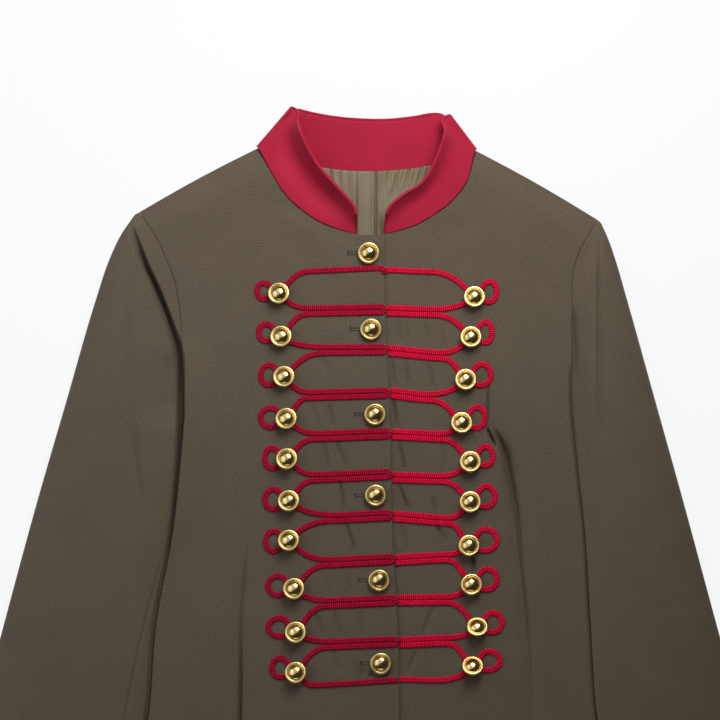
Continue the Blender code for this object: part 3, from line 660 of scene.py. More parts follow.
# %% The marks in the fronts
CREASES = {
    "left": [
        Crease(-76, 268, -24, 234, -4, 2.0, 9),
        Crease(-48.2, 97.2, -41.3, 71.4, 0, 1.6, 1.9),
        Crease(-32.7, 96.3, -28.8, 70.5, 0, 3.0, 1.6),
        Crease(-37.4, 61.0, -31.8, 33.5, 0, 3.0, 1.3),
        Crease(-26.7, 63.6, -15.5, 33.5, 0, 3.2, 1.4),
        Crease(-40.4, 135.0, -31.0, 116.1, 0, 1.6, 2.3),
        Crease(-23.2, 29.2, -18.1, -0.9, 0, 3.9, 1.4),
        Crease(-18.9, -5.2, -8.6, -37.9, 0, 3.9, 1.4),
        Crease(-38.7, -50.8, -32.7, -73.1, 0, 1.6, 1.8),
        Crease(-18.1, -50.8, -12.0, -73.1, 0, 1.9, 1.6),
        Crease(-45.6, -83.4, -36.1, -108.4, 0, 2.6, 1.5),
        Crease(-30.1, -82.6, -18.1, -110.1, 0, 2.3, 1.5),
        Crease(-8.6, -82.6, -0.9, -109.2, 0, 2.3, 1.4),
        Crease(-31.0, -117.0, -23.2, -138.5, 0, 1.6, 1.8),
        Crease(-14.6, -117.8, -4.3, -145.4, 0, -2.3, 1.3),
        Crease(-8.6, -133.3, 6.9, -141.1, 0, 2.6, 1.3),
    ],
    "right": [
        Crease(60, 240, 100, 262, 4, 0.8, 9),
        Crease(26.3, 166.0, 29.9, 143.6, 0, 1.9, 1.3),
        Crease(32.7, 166.0, 35.9, 144.5, 0, 1.6, 1.2),
        Crease(49.0, 164.2, 55.0, 142.7, 0, 1.6, 1.3),
        Crease(63.6, 156.5, 67.5, 141.9, 0, 1.6, 1.4),
        Crease(20.3, 135.0, 24.8, 107.5, 0, 2.6, 1.3),
        Crease(32.7, 132.4, 37.2, 106.6, 0, 2.6, 1.3),
        Crease(51.6, 130.7, 58.5, 104.9, 0, 2.3, 1.4),
        Crease(22.4, 99.7, 26.7, 69.6, 0, 4.2, 1.3),
        Crease(27.5, 62.8, 34.0, 33.5, 0, 4.2, 1.3),
        Crease(64.5, 61.9, 68.8, 34.4, 0, 1.9, 1.8),
        Crease(26.7, 26.6, 37.0, -0.9, 0, 4.6, 1.4),
        Crease(55.9, 15.5, 61.1, -2.6, 0, 3.2, 1.4),
        Crease(29.2, -9.5, 37.0, -37.0, 0, 2.3, 1.5),
        Crease(59.3, -8.6, 68.8, -28.4, 0, 3.0, 2.1),
        Crease(88.6, 71.4, 93.7, 55.9, 0, 2.6, 1.8),
        Crease(92.0, -37.0, 92.9, -54.2, 0, 4.6, 1.9),
        Crease(59.3, -78.3, 46.4, -107.5, 0, 1.6, 2.3),
        Crease(43.9, -117.8, 35.3, -136.8, 0, 1.9, 2.3),
        Crease(102.3, 74.8, 111.8, 55.0, 0, 7.8, 1.5),
    ],
}
Line = namedtuple("Line", "y x depth width")
LONG_LINES = {
    "left": [
        [
            Line(-350, -112, 3.5, 2.0), Line(-178, -109.2, 6.0, 1.3), Line(-132, -108.5, 4.5, 1.2),
            Line(-107, -108.4, 2.5, 1.1), Line(-68, -106.2, 2.0, 1.0), Line(-45, -104, 1.5, 1.0),
            Line(-20, -101.3, 0.0, 1.2), Line(0, -101, 0.0, 1.2),
        ],
        [
            Line(-75, -87, 0.0, 1.8), Line(-50, -87.2, -0.5, 1.8), Line(-10, -88.1, -0.6, 1.7),
            Line(23, -89, -0.6, 1.6), Line(71, -93.3, -0.6, 1.6), Line(120, -97.3, -0.4, 1.6),
            Line(150, -98.4, 0.0, 1.6), Line(170, -98.4, 0.0, 1.6),
        ],
    ],
    "right": [
        [
            Line(-350, 153, -0.3, 0.9), Line(-175, 145.3, -0.3, 0.9), Line(-132, 141.9, 0.8, 0.8),
            Line(-109, 140.0, 2.0, 0.9), Line(-75, 136.6, 2.8, 1.0), Line(-34, 132.4, 3.6, 1.2),
            Line(-3.5, 129.7, 5.2, 1.7), Line(17, 126.3, 7.0, 2.1), Line(35, 122.6, 8.2, 2.5),
            Line(56, 117.8, 7.6, 2.7), Line(65, 113.5, 5.0, 2.3), Line(74, 109.2, 0.0, 1.8),
            Line(90, 106, 0.0, 1.8),
        ],
        [
            Line(68, 103.4, 0.0, 1.0), Line(78, 103.6, 2.0, 1.0), Line(104, 104.4, 2.0, 1.0),
            Line(112, 104.6, 0.0, 1.0), Line(120, 104.6, 0.0, 1.0),
        ],
    ],
}


def body(name, y):
    """One column of the body's table at any level."""
    return read(BODY, "y", name, y)


def depth_below_shoulder(side, x, y):
    """The distance of a point below the line from the collar to the shoulder tip."""
    neck, tip = COLLAR[side][-1], ARMHOLES[side][0]
    run = np.array([tip.x - neck.x, tip.y - neck.y])
    run /= np.hypot(*run)
    across = (x - neck.x) * run[1] - (y - neck.y) * run[0]
    return across if side == "right" else -across


def crown(x, y):
    """Height of the plateau times a quarter sine at each edge, less a bell-shaped trough a dart.

    Beside the left armhole a bell-shaped rise is added first.
    """
    x, y = np.broadcast_arrays(np.asarray(x, float), np.asarray(y, float))
    middle = body("edge", y) - OVERLAP / 2
    height = read(RISES, "y", "height", y)
    height = height * (1.0 - CROWN_FALL * ((x - middle) / CROWN_HALF_WIDTH) ** 2)
    for side, inward in (("left", x - body("left_line", y)), ("right", body("right_line", y) - x)):
        below_top = ease((EDGE_RISE_TOP - y) / EDGE_RISE_TOP_REACH)
        above_foot = ease((y - EDGE_RISE_FOOT) / EDGE_RISE_FOOT_REACH)
        rise = EDGE_RISE[side] * below_top * above_foot
        height = height + rise * np.exp(-((inward / EDGE_RISE_WIDTH) ** 2))
        hold = ease((y - HOLD_FROM[side]) / HOLD_REACH)
        roll = np.sin(np.clip((inward - ROLL_START[side]) / ROLL_WIDTH[side], 0, 1) * RIGHT_ANGLE)
        kept = hold + (1 - hold) * roll
        nearby = x < 0 if side == "left" else x >= 0
        height = np.where(nearby, height * kept, height)
        under = depth_below_shoulder(side, x, y)
        shoulder = np.sin(np.clip(under / SHOULDER_ROLL, 0, 1) * RIGHT_ANGLE)
        height = np.where(nearby, height * shoulder, height)
        trough = np.exp(-(((x - body(side + "_dart", y)) / DART_WIDTH) ** 2))
        fold = read(RISES, "y", side + "_fold", y)
        height = height - fold * trough * (height > MARGIN_TOP)
    return MARGIN_TOP + height


def beside_armhole(side, x, y):
    """The level distance of a point from the armhole seam, large below the underarm."""
    holes = np.array(ARMHOLES[side], float)[::-1]
    seam = smooth_between(holes[:, 1], holes[:, 0], y)
    return np.where(y > ARMHOLE_END_Y, x - seam, FAR_AWAY)


def front_height(side, x, y):
    """The crown plus the creases, less each long line's bell curve and the groove of the seam.

    All of them fade out in the margin. The left front is lifted over the right one near its edge.
    """
    height = crown(x, y)
    standing = ease((height - MARGIN_TOP) / STANDING_REACH)
    marks = creased(x, y, CREASES[side])
    for line in LONG_LINES[side]:
        aside = (x - read(line, "y", "x", y)) / read(line, "y", "width", y)
        marks = marks - read(line, "y", "depth", y) * np.exp(-(aside**2))
    height = height + marks * standing
    seam_fades = ease((y - SEAM_ENDS[side]) / SEAM_FADE) * standing
    groove = SEAM_GROOVE * np.exp(-((beside_armhole(side, x, y) / SEAM_WIDTH) ** 2))
    height = height - groove * seam_fades
    if side == "left":
        full_at = body("edge", y) - OVERLAP - LAP_HOLD
        height = height + OVERLAP_LIFT * ease((x - full_at + LAP_REACH) / LAP_REACH)
    return height


# %% [markdown]
# A front's plan is a grid whose rows start at the front edge and the neck seam and end at the side
# seam, the underarm and the armhole. The rows are placed by a few given ends, and a smooth line
# through them gives as many rows as the surface needs. The last rows are close together, because the
# shoulder seam lies there.

# %% The plan of a front
ARMHOLE_STEPS = np.array([0, 6.5, 13, 20, 27, 34, 41, 49, 64, 84, 108, 136, 163])
HEM_RISE = 6.0
HEM_RISE_REACH = 80.0
Turn = namedtuple("Turn", "start_y end_y toward_line past_line")
SHOULDER_BULGE = 1.5
FINE_ROWS_Y = -185.0
ARMHOLE_FOOT_Y = 103.0
UNDERARM_TURNS = [
    Turn(80, 80, 0.0, 0.0), Turn(86, 84, 0.45, 0.0), Turn(92, 89, 1.0, 8.0),
    Turn(98, 93.5, 1.0, 2.5), Turn(101, 95.8, 1.0, 0.2),
]


def hem_rise(x, y):
    """The hem's curve: it rises with the square of the distance from the middle."""
    near_hem = 1.0 - np.clip((y - HEM_Y) / HEM_RISE_REACH, 0, 1)
    return HEM_RISE * (x / HEM_HALF_WIDTH) ** 2 * near_hem


def armhole_points(side):
    """The armhole seam at set steps, from the shoulder tip to the underarm."""
    length = run_along(ARMHOLES[side])[-1]
    return points_at(ARMHOLES[side], ARMHOLE_STEPS * length / ARMHOLE_STEPS[-1])


def front_ends(side):
    """The starts and ends of a front's rows: up to the underarm, round it, and on up to the neck."""
    under = 0.0 if side == "left" else OVERLAP
    sign = 1.0 if side == "left" else -1.0
    coarse, fine = np.linspace(HEM_Y, FINE_ROWS_Y, 22), np.linspace(FINE_ROWS_Y, UNDERARM_Y, 88)
    low = np.concatenate([coarse[:-1], fine])
    side_x, line_x = body(side + "_side", UNDERARM_Y), body(side + "_line", UNDERARM_Y)
    turns = []
    for turn in UNDERARM_TURNS:
        end_x = side_x + (line_x - side_x) * turn.toward_line - sign * turn.past_line
        turns.append((turn.start_y, end_x, turn.end_y))
    round_it = np.linspace(0, len(turns) - 1, 17)[1:, None]
    round_it = smooth_between(np.arange(len(turns)), turns, round_it[:, 0])
    holes = moved_aside(armhole_points(side), sign * SEAM_HALF_GAP)[::-1]
    neck = np.array([(ruling.x, ruling.y) for ruling in COLLAR[side]])
    up_to_neck = len(holes) - len(neck) - 1
    up = np.linspace(0, up_to_neck, 48)
    near_seam, at_seam = len(neck) - 1.4, len(neck) - 1
    on = np.append(np.linspace(0, near_seam, 56), np.linspace(near_seam, at_seam, 9)[1:])
    up_y = ARMHOLE_FOOT_Y + (NECK_Y - ARMHOLE_FOOT_Y) * up / up_to_neck
    front_edge = np.concatenate([low, round_it[:, 0], up_y])
    starts = np.stack([body("edge", front_edge) - under, front_edge], axis=1)
    starts = np.vstack([starts, smooth_between(np.arange(len(neck)), neck, on)])
    ends = np.stack([body(side + "_side", low), low], axis=1)
    at_hole = np.concatenate([up, up_to_neck + 1 + on])
    ends = np.vstack([ends, round_it[:, 1:], smooth_between(np.arange(len(holes)), holes, at_hole)])
    return starts, ends


def front_plan(side, columns=138):
    """Each row's columns stand close where a weight is high: over the frogging, at the dart and edge.

    The running total of the weight along the row, read backwards at even steps, gives their places.
    """
    start, end = front_ends(side)
    fine = np.linspace(0, 1, 500)
    x = start[:, :1] + fine[None] * (end - start)[:, :1]
    y = start[:, 1:] + fine[None] * (end - start)[:, 1:]
    dart = LONG_LINES[side][0]
    dart_x = read(dart, "y", "x", y)
    edge_x = np.where(y > ARMHOLE_END_Y, end[:, :1], body(side + "_line", y))
    frogging = (np.abs(x) < np.abs(dart_x)) & ((side == "left") | (x > body("edge", y) - 2.0))
    weight = 0.3 + 0.45 * frogging
    for line_x, gain, reach in ((dart_x, 0.9, 5.0), (edge_x, 1.1, 3.5)):
        weight = weight + gain * np.exp(-(((x - line_x) / reach) ** 2))
    total = np.cumsum(weight, axis=1)
    total = (total - total[:, :1]) / (total[:, -1:] - total[:, :1])
    even = np.linspace(0, 1, columns)
    part = np.stack([np.interp(even, row, fine) for row in total])[..., None]
    plan = start[:, None] + part * (end - start)[:, None]
    plan[..., 1] += hem_rise(plan[..., 0], plan[..., 1])
    last_rows = ease((np.arange(len(start)) - len(start) + 31) / 30)[:, None]
    plan[..., 1] += SHOULDER_BULGE * np.sin(math.pi * part[..., 0]) * last_rows
    return plan


def make_front(side):
    """The plan's x and y, with the height field as z."""
    plan = front_plan(side)
    x, y = plan[..., 0], plan[..., 1]
    points = np.dstack([x, y, front_height(side, x, y)])
    name = "front_" + side
    return cloth(name + "_cloth", points, olive_twill, "olive_twill", [name], WALL, -1.0)


fronts = {side: make_front(side) for side in ("left", "right")}

# %% [markdown]
# The back is not seen from above but for slivers at the neck, so it is one plain panel on the floor.
# Its rows run from one side seam, armhole and shoulder to the other, and the last rows bend down to
# the neck seam.

# %% The back


def back_edge(side, count):
    """The side seam, the armhole and the shoulder of the back, from the hem to the neck."""
    y = np.linspace(HEM_Y, UNDERARM_Y, 12)[:-1]
    side_seam = np.stack([body(side + "_side", y), y], axis=1)
    holes = np.array(BACK_ARMHOLES[side], float)[::-1]
    neck = COLLAR[side][-1]
    middle = [(holes[-1, 0] + neck.x) / 2, (holes[-1, 1] + neck.y) / 2 + SHOULDER_BULGE - 0.4]
    chain = np.vstack([side_seam, holes, [middle], [[neck.x, neck.y]]])
    at = np.linspace(0, run_along(chain)[-1], count)
    return np.stack([np.interp(at, run_along(chain), chain[:, axis]) for axis in (0, 1)], axis=1)


def make_back(rows=80, columns=60):
    """Straight rows between two outlines, the last ones bent down to the neck seam, all at height 0."""
    left, right = back_edge("left", rows), back_edge("right", rows)
    across = np.linspace(0, 1, columns)[None, :, None]
    plan = left[:, None] + across * (right - left)[:, None]
    plan[..., 1] += hem_rise(plan[..., 0], plan[..., 1])
    seam_y = read(BACK_COLLAR, "x", "y", plan[-1, :, 0]) - COLLAR_OFFSET
    inside = ease((94 - np.abs(plan[-1, :, 0])) / 24)
    drop = (plan[-1, :, 1] - seam_y) * inside
    last_rows = ease((np.linspace(0, 1, rows) - 0.88) / 0.12)
    plan[..., 1] -= last_rows[:, None] * drop[None]
    points = np.dstack([plan, np.zeros(plan.shape[:2])])
    return cloth(
        "back_cloth", points, olive_twill, "olive_twill", ["back"], UNDER_WALL, 1.0, face_up=False
    )


back = make_back()

# %% [markdown]
# A sleeve is two pieces: the top, which shows, and the under piece, which lies on the floor and
# climbs over the body's side margin. Stations run from the shoulder tip down the armhole and on to
# the cuff. At each one the top rises from the inner line, rounds over and comes down to the outer
# line. The sleeve's fullness folds over when it lies flat, and leaves one deep trough: on the left it
# starts at the shoulder tip, crosses to the armhole and runs on down beside the body. It is a row of
# a table for each stretch: where it is, how deep, and how far it reaches on its two sides.

# %% The sleeves' tables
INNER_LINES = {
    "left": [
        Point(-160, 54), Point(-168, -17), Point(-182.5, -96), Point(-190, -178),
        Point(-213, -262), Point(-246, -343),
    ],
    "right": [
        Point(179.8, 54), Point(187.5, -17), Point(192.5, -96), Point(198.5, -178),
        Point(218, -262), Point(247, -343),
    ],
}
OUTER_LINES = {
    "left": [
        Point(-200.5, 256.6), Point(-212.5, 239), Point(-222.5, 217.5), Point(-234, 183),
        Point(-259, 97), Point(-284, 11), Point(-312, -92), Point(-334.5, -178), Point(-367, -317),
    ],
    "right": [
        Point(202.0, 249.6), Point(208.5, 235), Point(214.5, 217.5), Point(224.5, 183),
        Point(248.5, 97), Point(272.5, 11), Point(299, -87), Point(324, -178), Point(367, -317),
    ],
}
EDGE_CLEAR = {"left": 1.45, "right": 4.5}
EDGE_LEAST = {"left": 10.0, "right": 9.0}
SOFTNESS = {"left": 0.0, "right": 0.85}
Swell = namedtuple("Swell", "run crown")
SWELLS = [
    Swell(0, 3.6), Swell(14, 8.0), Swell(36, 13.0), Swell(60, 16.0), Swell(85, 17.5),
    Swell(108, 18.8), Swell(131, 20.0), Swell(200, 19.6), Swell(320, 17.0), Swell(450, 15.0),
    Swell(620, 12.5),
]
Fold = namedtuple("Fold", "run at share near far")
SLEEVE_FOLDS = {
    "left": [
        Fold(0, 9, 0.0, 1.5, 4.6), Fold(14, 13.5, 0.25, 1.5, 4.6), Fold(36, 17.5, 0.7, 1.5, 4.6),
        Fold(60, 17.5, 0.95, 1.5, 4.6), Fold(85, 13.0, 1.0, 1.6, 4.4), Fold(108, 7.6, 1.0, 2.2, 3.9),
        Fold(131, 3.6, 1.0, 5.0, 3.2), Fold(158, 2.2, 1.0, 9.0, 2.8), Fold(200, 1.7, 1.0, 9.0, 2.5),
        Fold(240, 1.3, 1.0, 8.0, 2.1), Fold(290, 1.0, 1.0, 5.0, 1.4), Fold(450, 0.8, 0.97, 4.0, 1.2),
        Fold(620, 1.0, 0.9, 4.0, 1.2),
    ],
    "right": [
        Fold(0, 9, 0.0, 3.6, 8.0), Fold(14, 7, 0.05, 3.6, 8.0), Fold(36, 5, 0.10, 3.6, 8.0),
        Fold(85, 3, 0.13, 3.6, 8.0), Fold(131, 3, 0.20, 3.6, 8.0), Fold(200, 3, 0.14, 3.6, 8.0),
        Fold(320, 4, 0.08, 3.6, 8.0), Fold(450, 6, 0.04, 3.6, 8.0), Fold(620, 6, 0.0, 3.6, 8.0),
    ],
}
SLEEVE_CREASES = {
    "left": [
        Crease(-170, -20, -214, -215, 4, 1.1, 1.4), Crease(-208, 232, -201, -30, 2, 1.6, 7),
        Crease(-201, 78, -192, 2, 2, 2.0, 4.5),
    ],
    "right": [Crease(201, 262, 200, 40, 1, 1.8, 2.5), Crease(177.5, 182, 178.5, 112, 0, 3.4, 3.6)],
}

# %% The sleeves' surfaces
SLEEVE_EDGE = 2.2
INNER_ROUNDNESS = {"left": 3.4, "right": 2.3}
OUTER_ROUNDNESS = 2.2
FOLD_CLEAR = 0.1
SLEEVE_SEAM_ENDS = {"left": 60.0, "right": 44.0}
CLIMB_HEIGHT = 3.35
CLIMB_START, CLIMB_REACH = -36.0, 24.0
CLIMB_TOP_Y, CLIMB_TOP_REACH = 82.0, 43.0
CLIMB_FOOT_Y, CLIMB_FOOT_REACH = -320.0, 70.0


def rounded(part, roundness):
    """A quarter of a rounded arch: (1 - (1 - p) to the r) to the 1 / r."""
    return (1 - (1 - part) ** roundness) ** (1 / roundness)


def climb(side, x, y):
    """How high the under sleeve climbs to lie over the body's side margin."""
    seam = body(side + "_side", y)
    inside = x - seam if side == "left" else seam - x
    below_underarm = 1 - ease((y - CLIMB_TOP_Y) / CLIMB_TOP_REACH)
    above_cuff = ease((y - CLIMB_FOOT_Y) / CLIMB_FOOT_REACH)
    return CLIMB_HEIGHT * ease((inside - CLIMB_START) / CLIMB_REACH) * below_underarm * above_cuff


def sleeve_lines(side, stations):
    """The inner line, the outer line and the run down the sleeve at each station."""
    sign = 1.0 if side == "left" else -1.0
    holes = armhole_points(side)
    chain = np.vstack([holes, INNER_LINES[side]])
    length = run_along(chain)[-1]
    run = length * np.linspace(0, 1, stations) ** 1.15
    inner = moved_aside(points_at(chain, run), -sign * SEAM_HALF_GAP)
    outer_length = run_along(OUTER_LINES[side])[-1]
    outer = points_at(OUTER_LINES[side], run / length * outer_length)
    return inner, outer, run, run_along(holes)[-1]


def sleeve_edges(side, inner, run, armhole_length):
    """The height of the top's inner edge at each station, and how softly it rises from there."""
    at_armhole = crown(inner[:, 0], inner[:, 1])
    least = np.maximum(at_armhole, EDGE_LEAST[side])
    at_armhole = at_armhole + (least - at_armhole) * ease((160.0 - inner[:, 1]) / 20.0)
    below = climb(side, inner[:, 0], inner[:, 1]) + UNDER_WALL + EDGE_CLEAR[side]
    past = ease((run - armhole_length) / 30.0)
    return at_armhole * (1 - past) + below * past, 1.0 + (SOFTNESS[side] - 1.0) * past


def make_sleeve_top(side, stations=200, columns=124):
    """From the inner edge up to the crown and down a rounded arch to the outer edge, less the fold.

    The fold is a bell curve of the cube of the distance aside, so its floor is flat. Where its share
    is 1 it presses the top down onto the under sleeve. Columns stand close together at both edges.
    """
    inner, outer, run, armhole_length = sleeve_lines(side, stations)
    edge, softness = (line[:, None] for line in sleeve_edges(side, inner, run, armhole_length))
    even = np.linspace(0, 1, columns)[None]
    part = (0.35 * even + 0.65 * even**2.2) * (1 - even) + (1 - (1 - even) ** 1.6) * even
    width = np.hypot(*(outer - inner).T)[:, None]
    plan = inner[:, None] + part[..., None] * (outer - inner)[:, None]
    top = np.maximum(read(SWELLS, "run", "crown", run)[:, None], edge + 0.5)
    to_middle = np.clip(2 * part, 0, 1)
    firm_rise = rounded(to_middle, INNER_ROUNDNESS[side])
    inner_rise = np.sin(to_middle * RIGHT_ANGLE) * softness + firm_rise * (1 - softness)
    outer_rise = rounded(np.clip(2 * (1 - part), 0, 1), OUTER_ROUNDNESS)
    height = np.where(
        2 * part < 1,
        edge + (top - edge) * inner_rise,
        SLEEVE_EDGE + (top - SLEEVE_EDGE) * outer_rise,
    )
    at, share, near, far = (
        read(SLEEVE_FOLDS[side], "run", name, run)[:, None] for name in ("at", "share", "near", "far")
    )
    aside = part * width - at
    fold = share * np.exp(-(np.abs(aside / np.where(aside < 0, near, far)) ** 3))
    floor_here = climb(side, plan[..., 0], plan[..., 1]) + UNDER_WALL + WALL + FOLD_CLEAR
    height = height - fold * np.maximum(height - floor_here, 0)
    seam_fades = 1 - ease((run - SLEEVE_SEAM_ENDS[side]) / SEAM_FADE)[:, None]
    height = height - SEAM_GROOVE * np.exp(-((part * width / SEAM_WIDTH) ** 2)) * seam_fades
    marks = creased(plan[..., 0], plan[..., 1], SLEEVE_CREASES[side])
    height = height + marks * ease((height - MARGIN_TOP) / STANDING_REACH)
    along = np.broadcast_to(run[:, None], height.shape)
    sign = 1.0 if side == "left" else -1.0
    name = f"sleeve_{side}_top"
    cloth_mm = np.dstack([-sign * part * width, -along])
    points = np.dstack([plan, height])
    return cloth(name + "_cloth", points, olive_twill, "olive_twill", [name], WALL, -1.0, cloth_mm)


def make_sleeve_under(side, stations=70, columns=36):
    """Straight rows from the back's armhole, or the inner line below it, to the outer line."""
    inner, outer, run, armhole_length = sleeve_lines(side, stations)
    sign = 1.0 if side == "left" else -1.0
    back_hole = moved_aside(np.array(BACK_ARMHOLES[side], float), -sign * 0.4)
    part_of_hole = np.clip(run / armhole_length, 0, 1)
    hole = points_at(back_hole, part_of_hole * run_along(back_hole)[-1])
    past = ease((run - armhole_length) / 25.0)[:, None]
    inner = hole * (1 - past) + inner * past
    part = np.linspace(0, 1, columns)[None, :, None]
    plan = inner[:, None] + part * (outer - inner)[:, None]
    points = np.dstack([plan, climb(side, plan[..., 0], plan[..., 1])])
    name = f"sleeve_{side}_under"
    return cloth(
        name + "_cloth", points, olive_twill, "olive_twill", [name], UNDER_WALL, 1.0, face_up=False
    )


sleeves = {}
for side in ("left", "right"):
    sleeves[side] = (make_sleeve_top(side), make_sleeve_under(side))

# %% [markdown]
# The collar is one band round the neck. Laid flat, its front halves stand up from the neck seam and
# its sides fold over onto the back half. So it is a chain of rulings from the seam to the top edge:
# the left front half, the turn of its fold, the back half below, and the same on the right in turn.
# The rulings are spaced by their real distance, so the tight turns stay round.

# %% The collar
COLLAR_STAND = 7.0
FOLD_RADIUS = 1.9
FOLD_RADIUS_TOP = 5.4
BACK_SEAM = 1.6
FOLD_TOP = 10.8
BACK_TOP = 8.0
COLLAR_HOLLOW = {"left": 9.5, "right": 3.0}
COLLAR_FLARE = {"left": 9.5, "right": 6.0}
CORNER_CUT = 3.0
CORNER_REACH = 4.0
FRONT_CORNER = 6.0
TURN_STEPS = 9
TURN_MIDDLE = TURN_STEPS // 2 - 1
TOP_ROWS = 13
TOP_ROWS_PART = 0.88
STITCH_INSET = 2.4
STITCH_WIDTH = 0.6
STITCH_DEPTH = 0.7


def collar_half(side):
    """The seam and top edges of a front half, from the front corner to the shoulder."""
    rulings = np.array(COLLAR[side], float)
    sign = 1.0 if side == "left" else -1.0
    seam = moved_aside(rulings[:, :2], -sign * COLLAR_OFFSET)
    sunk = front_height(side, seam[:, 0], seam[:, 1]) - SEAM_SINK
    low = np.maximum(sunk, BACK_SEAM + 2 * FOLD_RADIUS)
    toward = ease(np.linspace(0, 1, len(rulings)))
    high = low + COLLAR_STAND * (1 - toward) + FOLD_TOP * toward
    return np.column_stack([seam, low]), np.column_stack([rulings[:, 2:], high])


def fold_turn(side, low, high, steps=TURN_STEPS):
    """Half circles that carry the last ruling of a front half down onto the back half."""
    run = (high - low)[:2] / np.hypot(*(high - low)[:2])
    outward = np.array([run[1], -run[0]]) * (-1.0 if side == "left" else 1.0)
    angle = np.linspace(0, math.pi, steps)[1:, None]
    turned = []
    for start, radius in ((low, FOLD_RADIUS), (high, FOLD_RADIUS_TOP)):
        aside = outward * radius * 0.5 * np.sin(angle)
        turned.append(start + np.hstack([aside, radius * (np.cos(angle) - 1)]))
    return turned


def collar_chain():
    """The whole seam edge and top edge: left half, left turn, back half, right turn, right half."""
    swing = np.sin(np.linspace(0, math.pi, len(BACK_COLLAR) + 2)[1:-1])
    back_rulings = np.array(BACK_COLLAR, float)
    stand = BACK_SEAM + FOLD_TOP - 2 * (FOLD_RADIUS_TOP - FOLD_RADIUS)
    back_low = np.column_stack([back_rulings[:, :2], np.full(len(swing), BACK_SEAM)])
    back_high = np.column_stack([back_rulings[:, 2:], stand + (BACK_TOP - stand) * swing])
    halves = {side: collar_half(side) for side in ("left", "right")}
    turns = {side: fold_turn(side, *(edge[-1] for edge in halves[side])) for side in halves}
    edges = []
    for edge, middle in ((0, back_low), (1, back_high)):
        left, right = halves["left"][edge], halves["right"][edge][::-1]
        edges.append(np.vstack([left, turns["left"][edge], middle, turns["right"][edge][::-1], right]))
    return edges


def make_collar(along=260, across=46):
    """Straight lines between the two edges, less a hollow, plus a flare with the cube of the part.

    The corners are cut a little: a bell curve at each turn's tip and a quarter circle at each front
    end. A line of stitches runs inside the top edge as a fine groove.
    """
    low, high = collar_chain()
    place = run_along((low + high) / 2)
    folds = place[len(COLLAR["left"]) - 1], place[-len(COLLAR["right"])]
    tips = place[len(COLLAR["left"]) + TURN_MIDDLE], place[-len(COLLAR["right"]) - 1 - TURN_MIDDLE]
    at = np.sort(np.concatenate([np.linspace(0, place[-1], along), place]))
    low, high = smooth_between(place, low, at), smooth_between(place, high, at)
    upward = (high - low) / np.linalg.norm(high - low, axis=1)[:, None]
    at_tip = sum(np.exp(-(((at - tip) / CORNER_REACH) ** 2)) for tip in tips)
    high = high - upward * CORNER_CUT * at_tip[:, None]
    from_end = np.clip(1 - np.minimum(at, at[-1] - at) / FRONT_CORNER, 0, 1)
    high = high - upward * (FRONT_CORNER * (1 - np.sqrt(1 - from_end**2)))[:, None]
    low_rows = np.linspace(0, TOP_ROWS_PART, across - TOP_ROWS + 1)[:-1]
    part = np.concatenate([low_rows, np.linspace(TOP_ROWS_PART, 1, TOP_ROWS)])[:, None]
    points = low[None] + part[..., None] * (high - low)[None]
    height = np.linalg.norm(high - low, axis=1)
    halves = {"left": 1 - ease((at - folds[0] + 30) / 26), "right": ease((at - folds[1] - 4) / 26)}
    arch = np.sin(part**1.9 * math.pi) ** 1.2
    for side, share in halves.items():
        from_front = at if side == "left" else at[-1] - at
        hollow = COLLAR_HOLLOW[side] * arch * ease(from_front / 25)[None]
        points[..., 2] += (COLLAR_FLARE[side] * part**3 - hollow) * share[None]
    from_edge = (1 - part) * height[None]
    groove = np.exp(-(((from_edge - STITCH_INSET) / STITCH_WIDTH) ** 2))
    groove = groove * (1 - 0.5 * ease(np.minimum(at - folds[0], folds[1] - at) / 20)) * (1 - at_tip)
    points[..., 2] -= STITCH_DEPTH * groove
    cloth_mm = np.dstack(np.broadcast_arrays(at[None], part * height[None]))
    return cloth(
        "collar_cloth", points, red_cloth, "red_collar_cloth", ["collar"], COLLAR_WALL, 0.0, cloth_mm
    )


collar = make_collar()

# %% [markdown]
# Inside the neck the satin lining shows. It has a centre pleat for ease, sewn flat at the top, and
# the seam under the collar gathers it, more on the right than on the left.

# %% The lining in the neck
Gather = namedtuple("Gather", "x depth width length lean")
GATHERS = [
    Gather(-46, 0.9, 2.6, 22, 0.12),
    Gather(-40, 0.6, 2.0, 14, 0.1),
    Gather(-33, 0.9, 2.6, 26, 0.08),
    Gather(-25, 0.5, 2.2, 16, 0.02),
    Gather(-17, 0.4, 2.4, 20, 0.0),
    Gather(8.0, 2.0, 1.3, 200, -0.01),
    Gather(13, 0.8, 1.6, 30, -0.06),
    Gather(18, 1.1, 1.4, 20, -0.12),
    Gather(22.5, 0.8, 1.2, 14, -0.2),
    Gather(27, 1.3, 1.5, 24, -0.22),
    Gather(32, 0.9, 1.2, 14, -0.2),
    Gather(36.5, 1.3, 1.5, 20, -0.25),
    Gather(42, 1.0, 1.3, 16, -0.25),
    Gather(47, 1.3, 1.5, 18, -0.25),
    Gather(53, 1.0, 1.4, 14, -0.2),
]
FLAP = (-9.0, 7.0)
LINING_TUCK = 2.0
LINING_MIDDLE = 4.0
LINING_HALF_WIDTH = 60.0
LINING_NARROWS = 34.0
LINING_DEPTH = 70.0
LINING_SEAM_DROP = 1.8


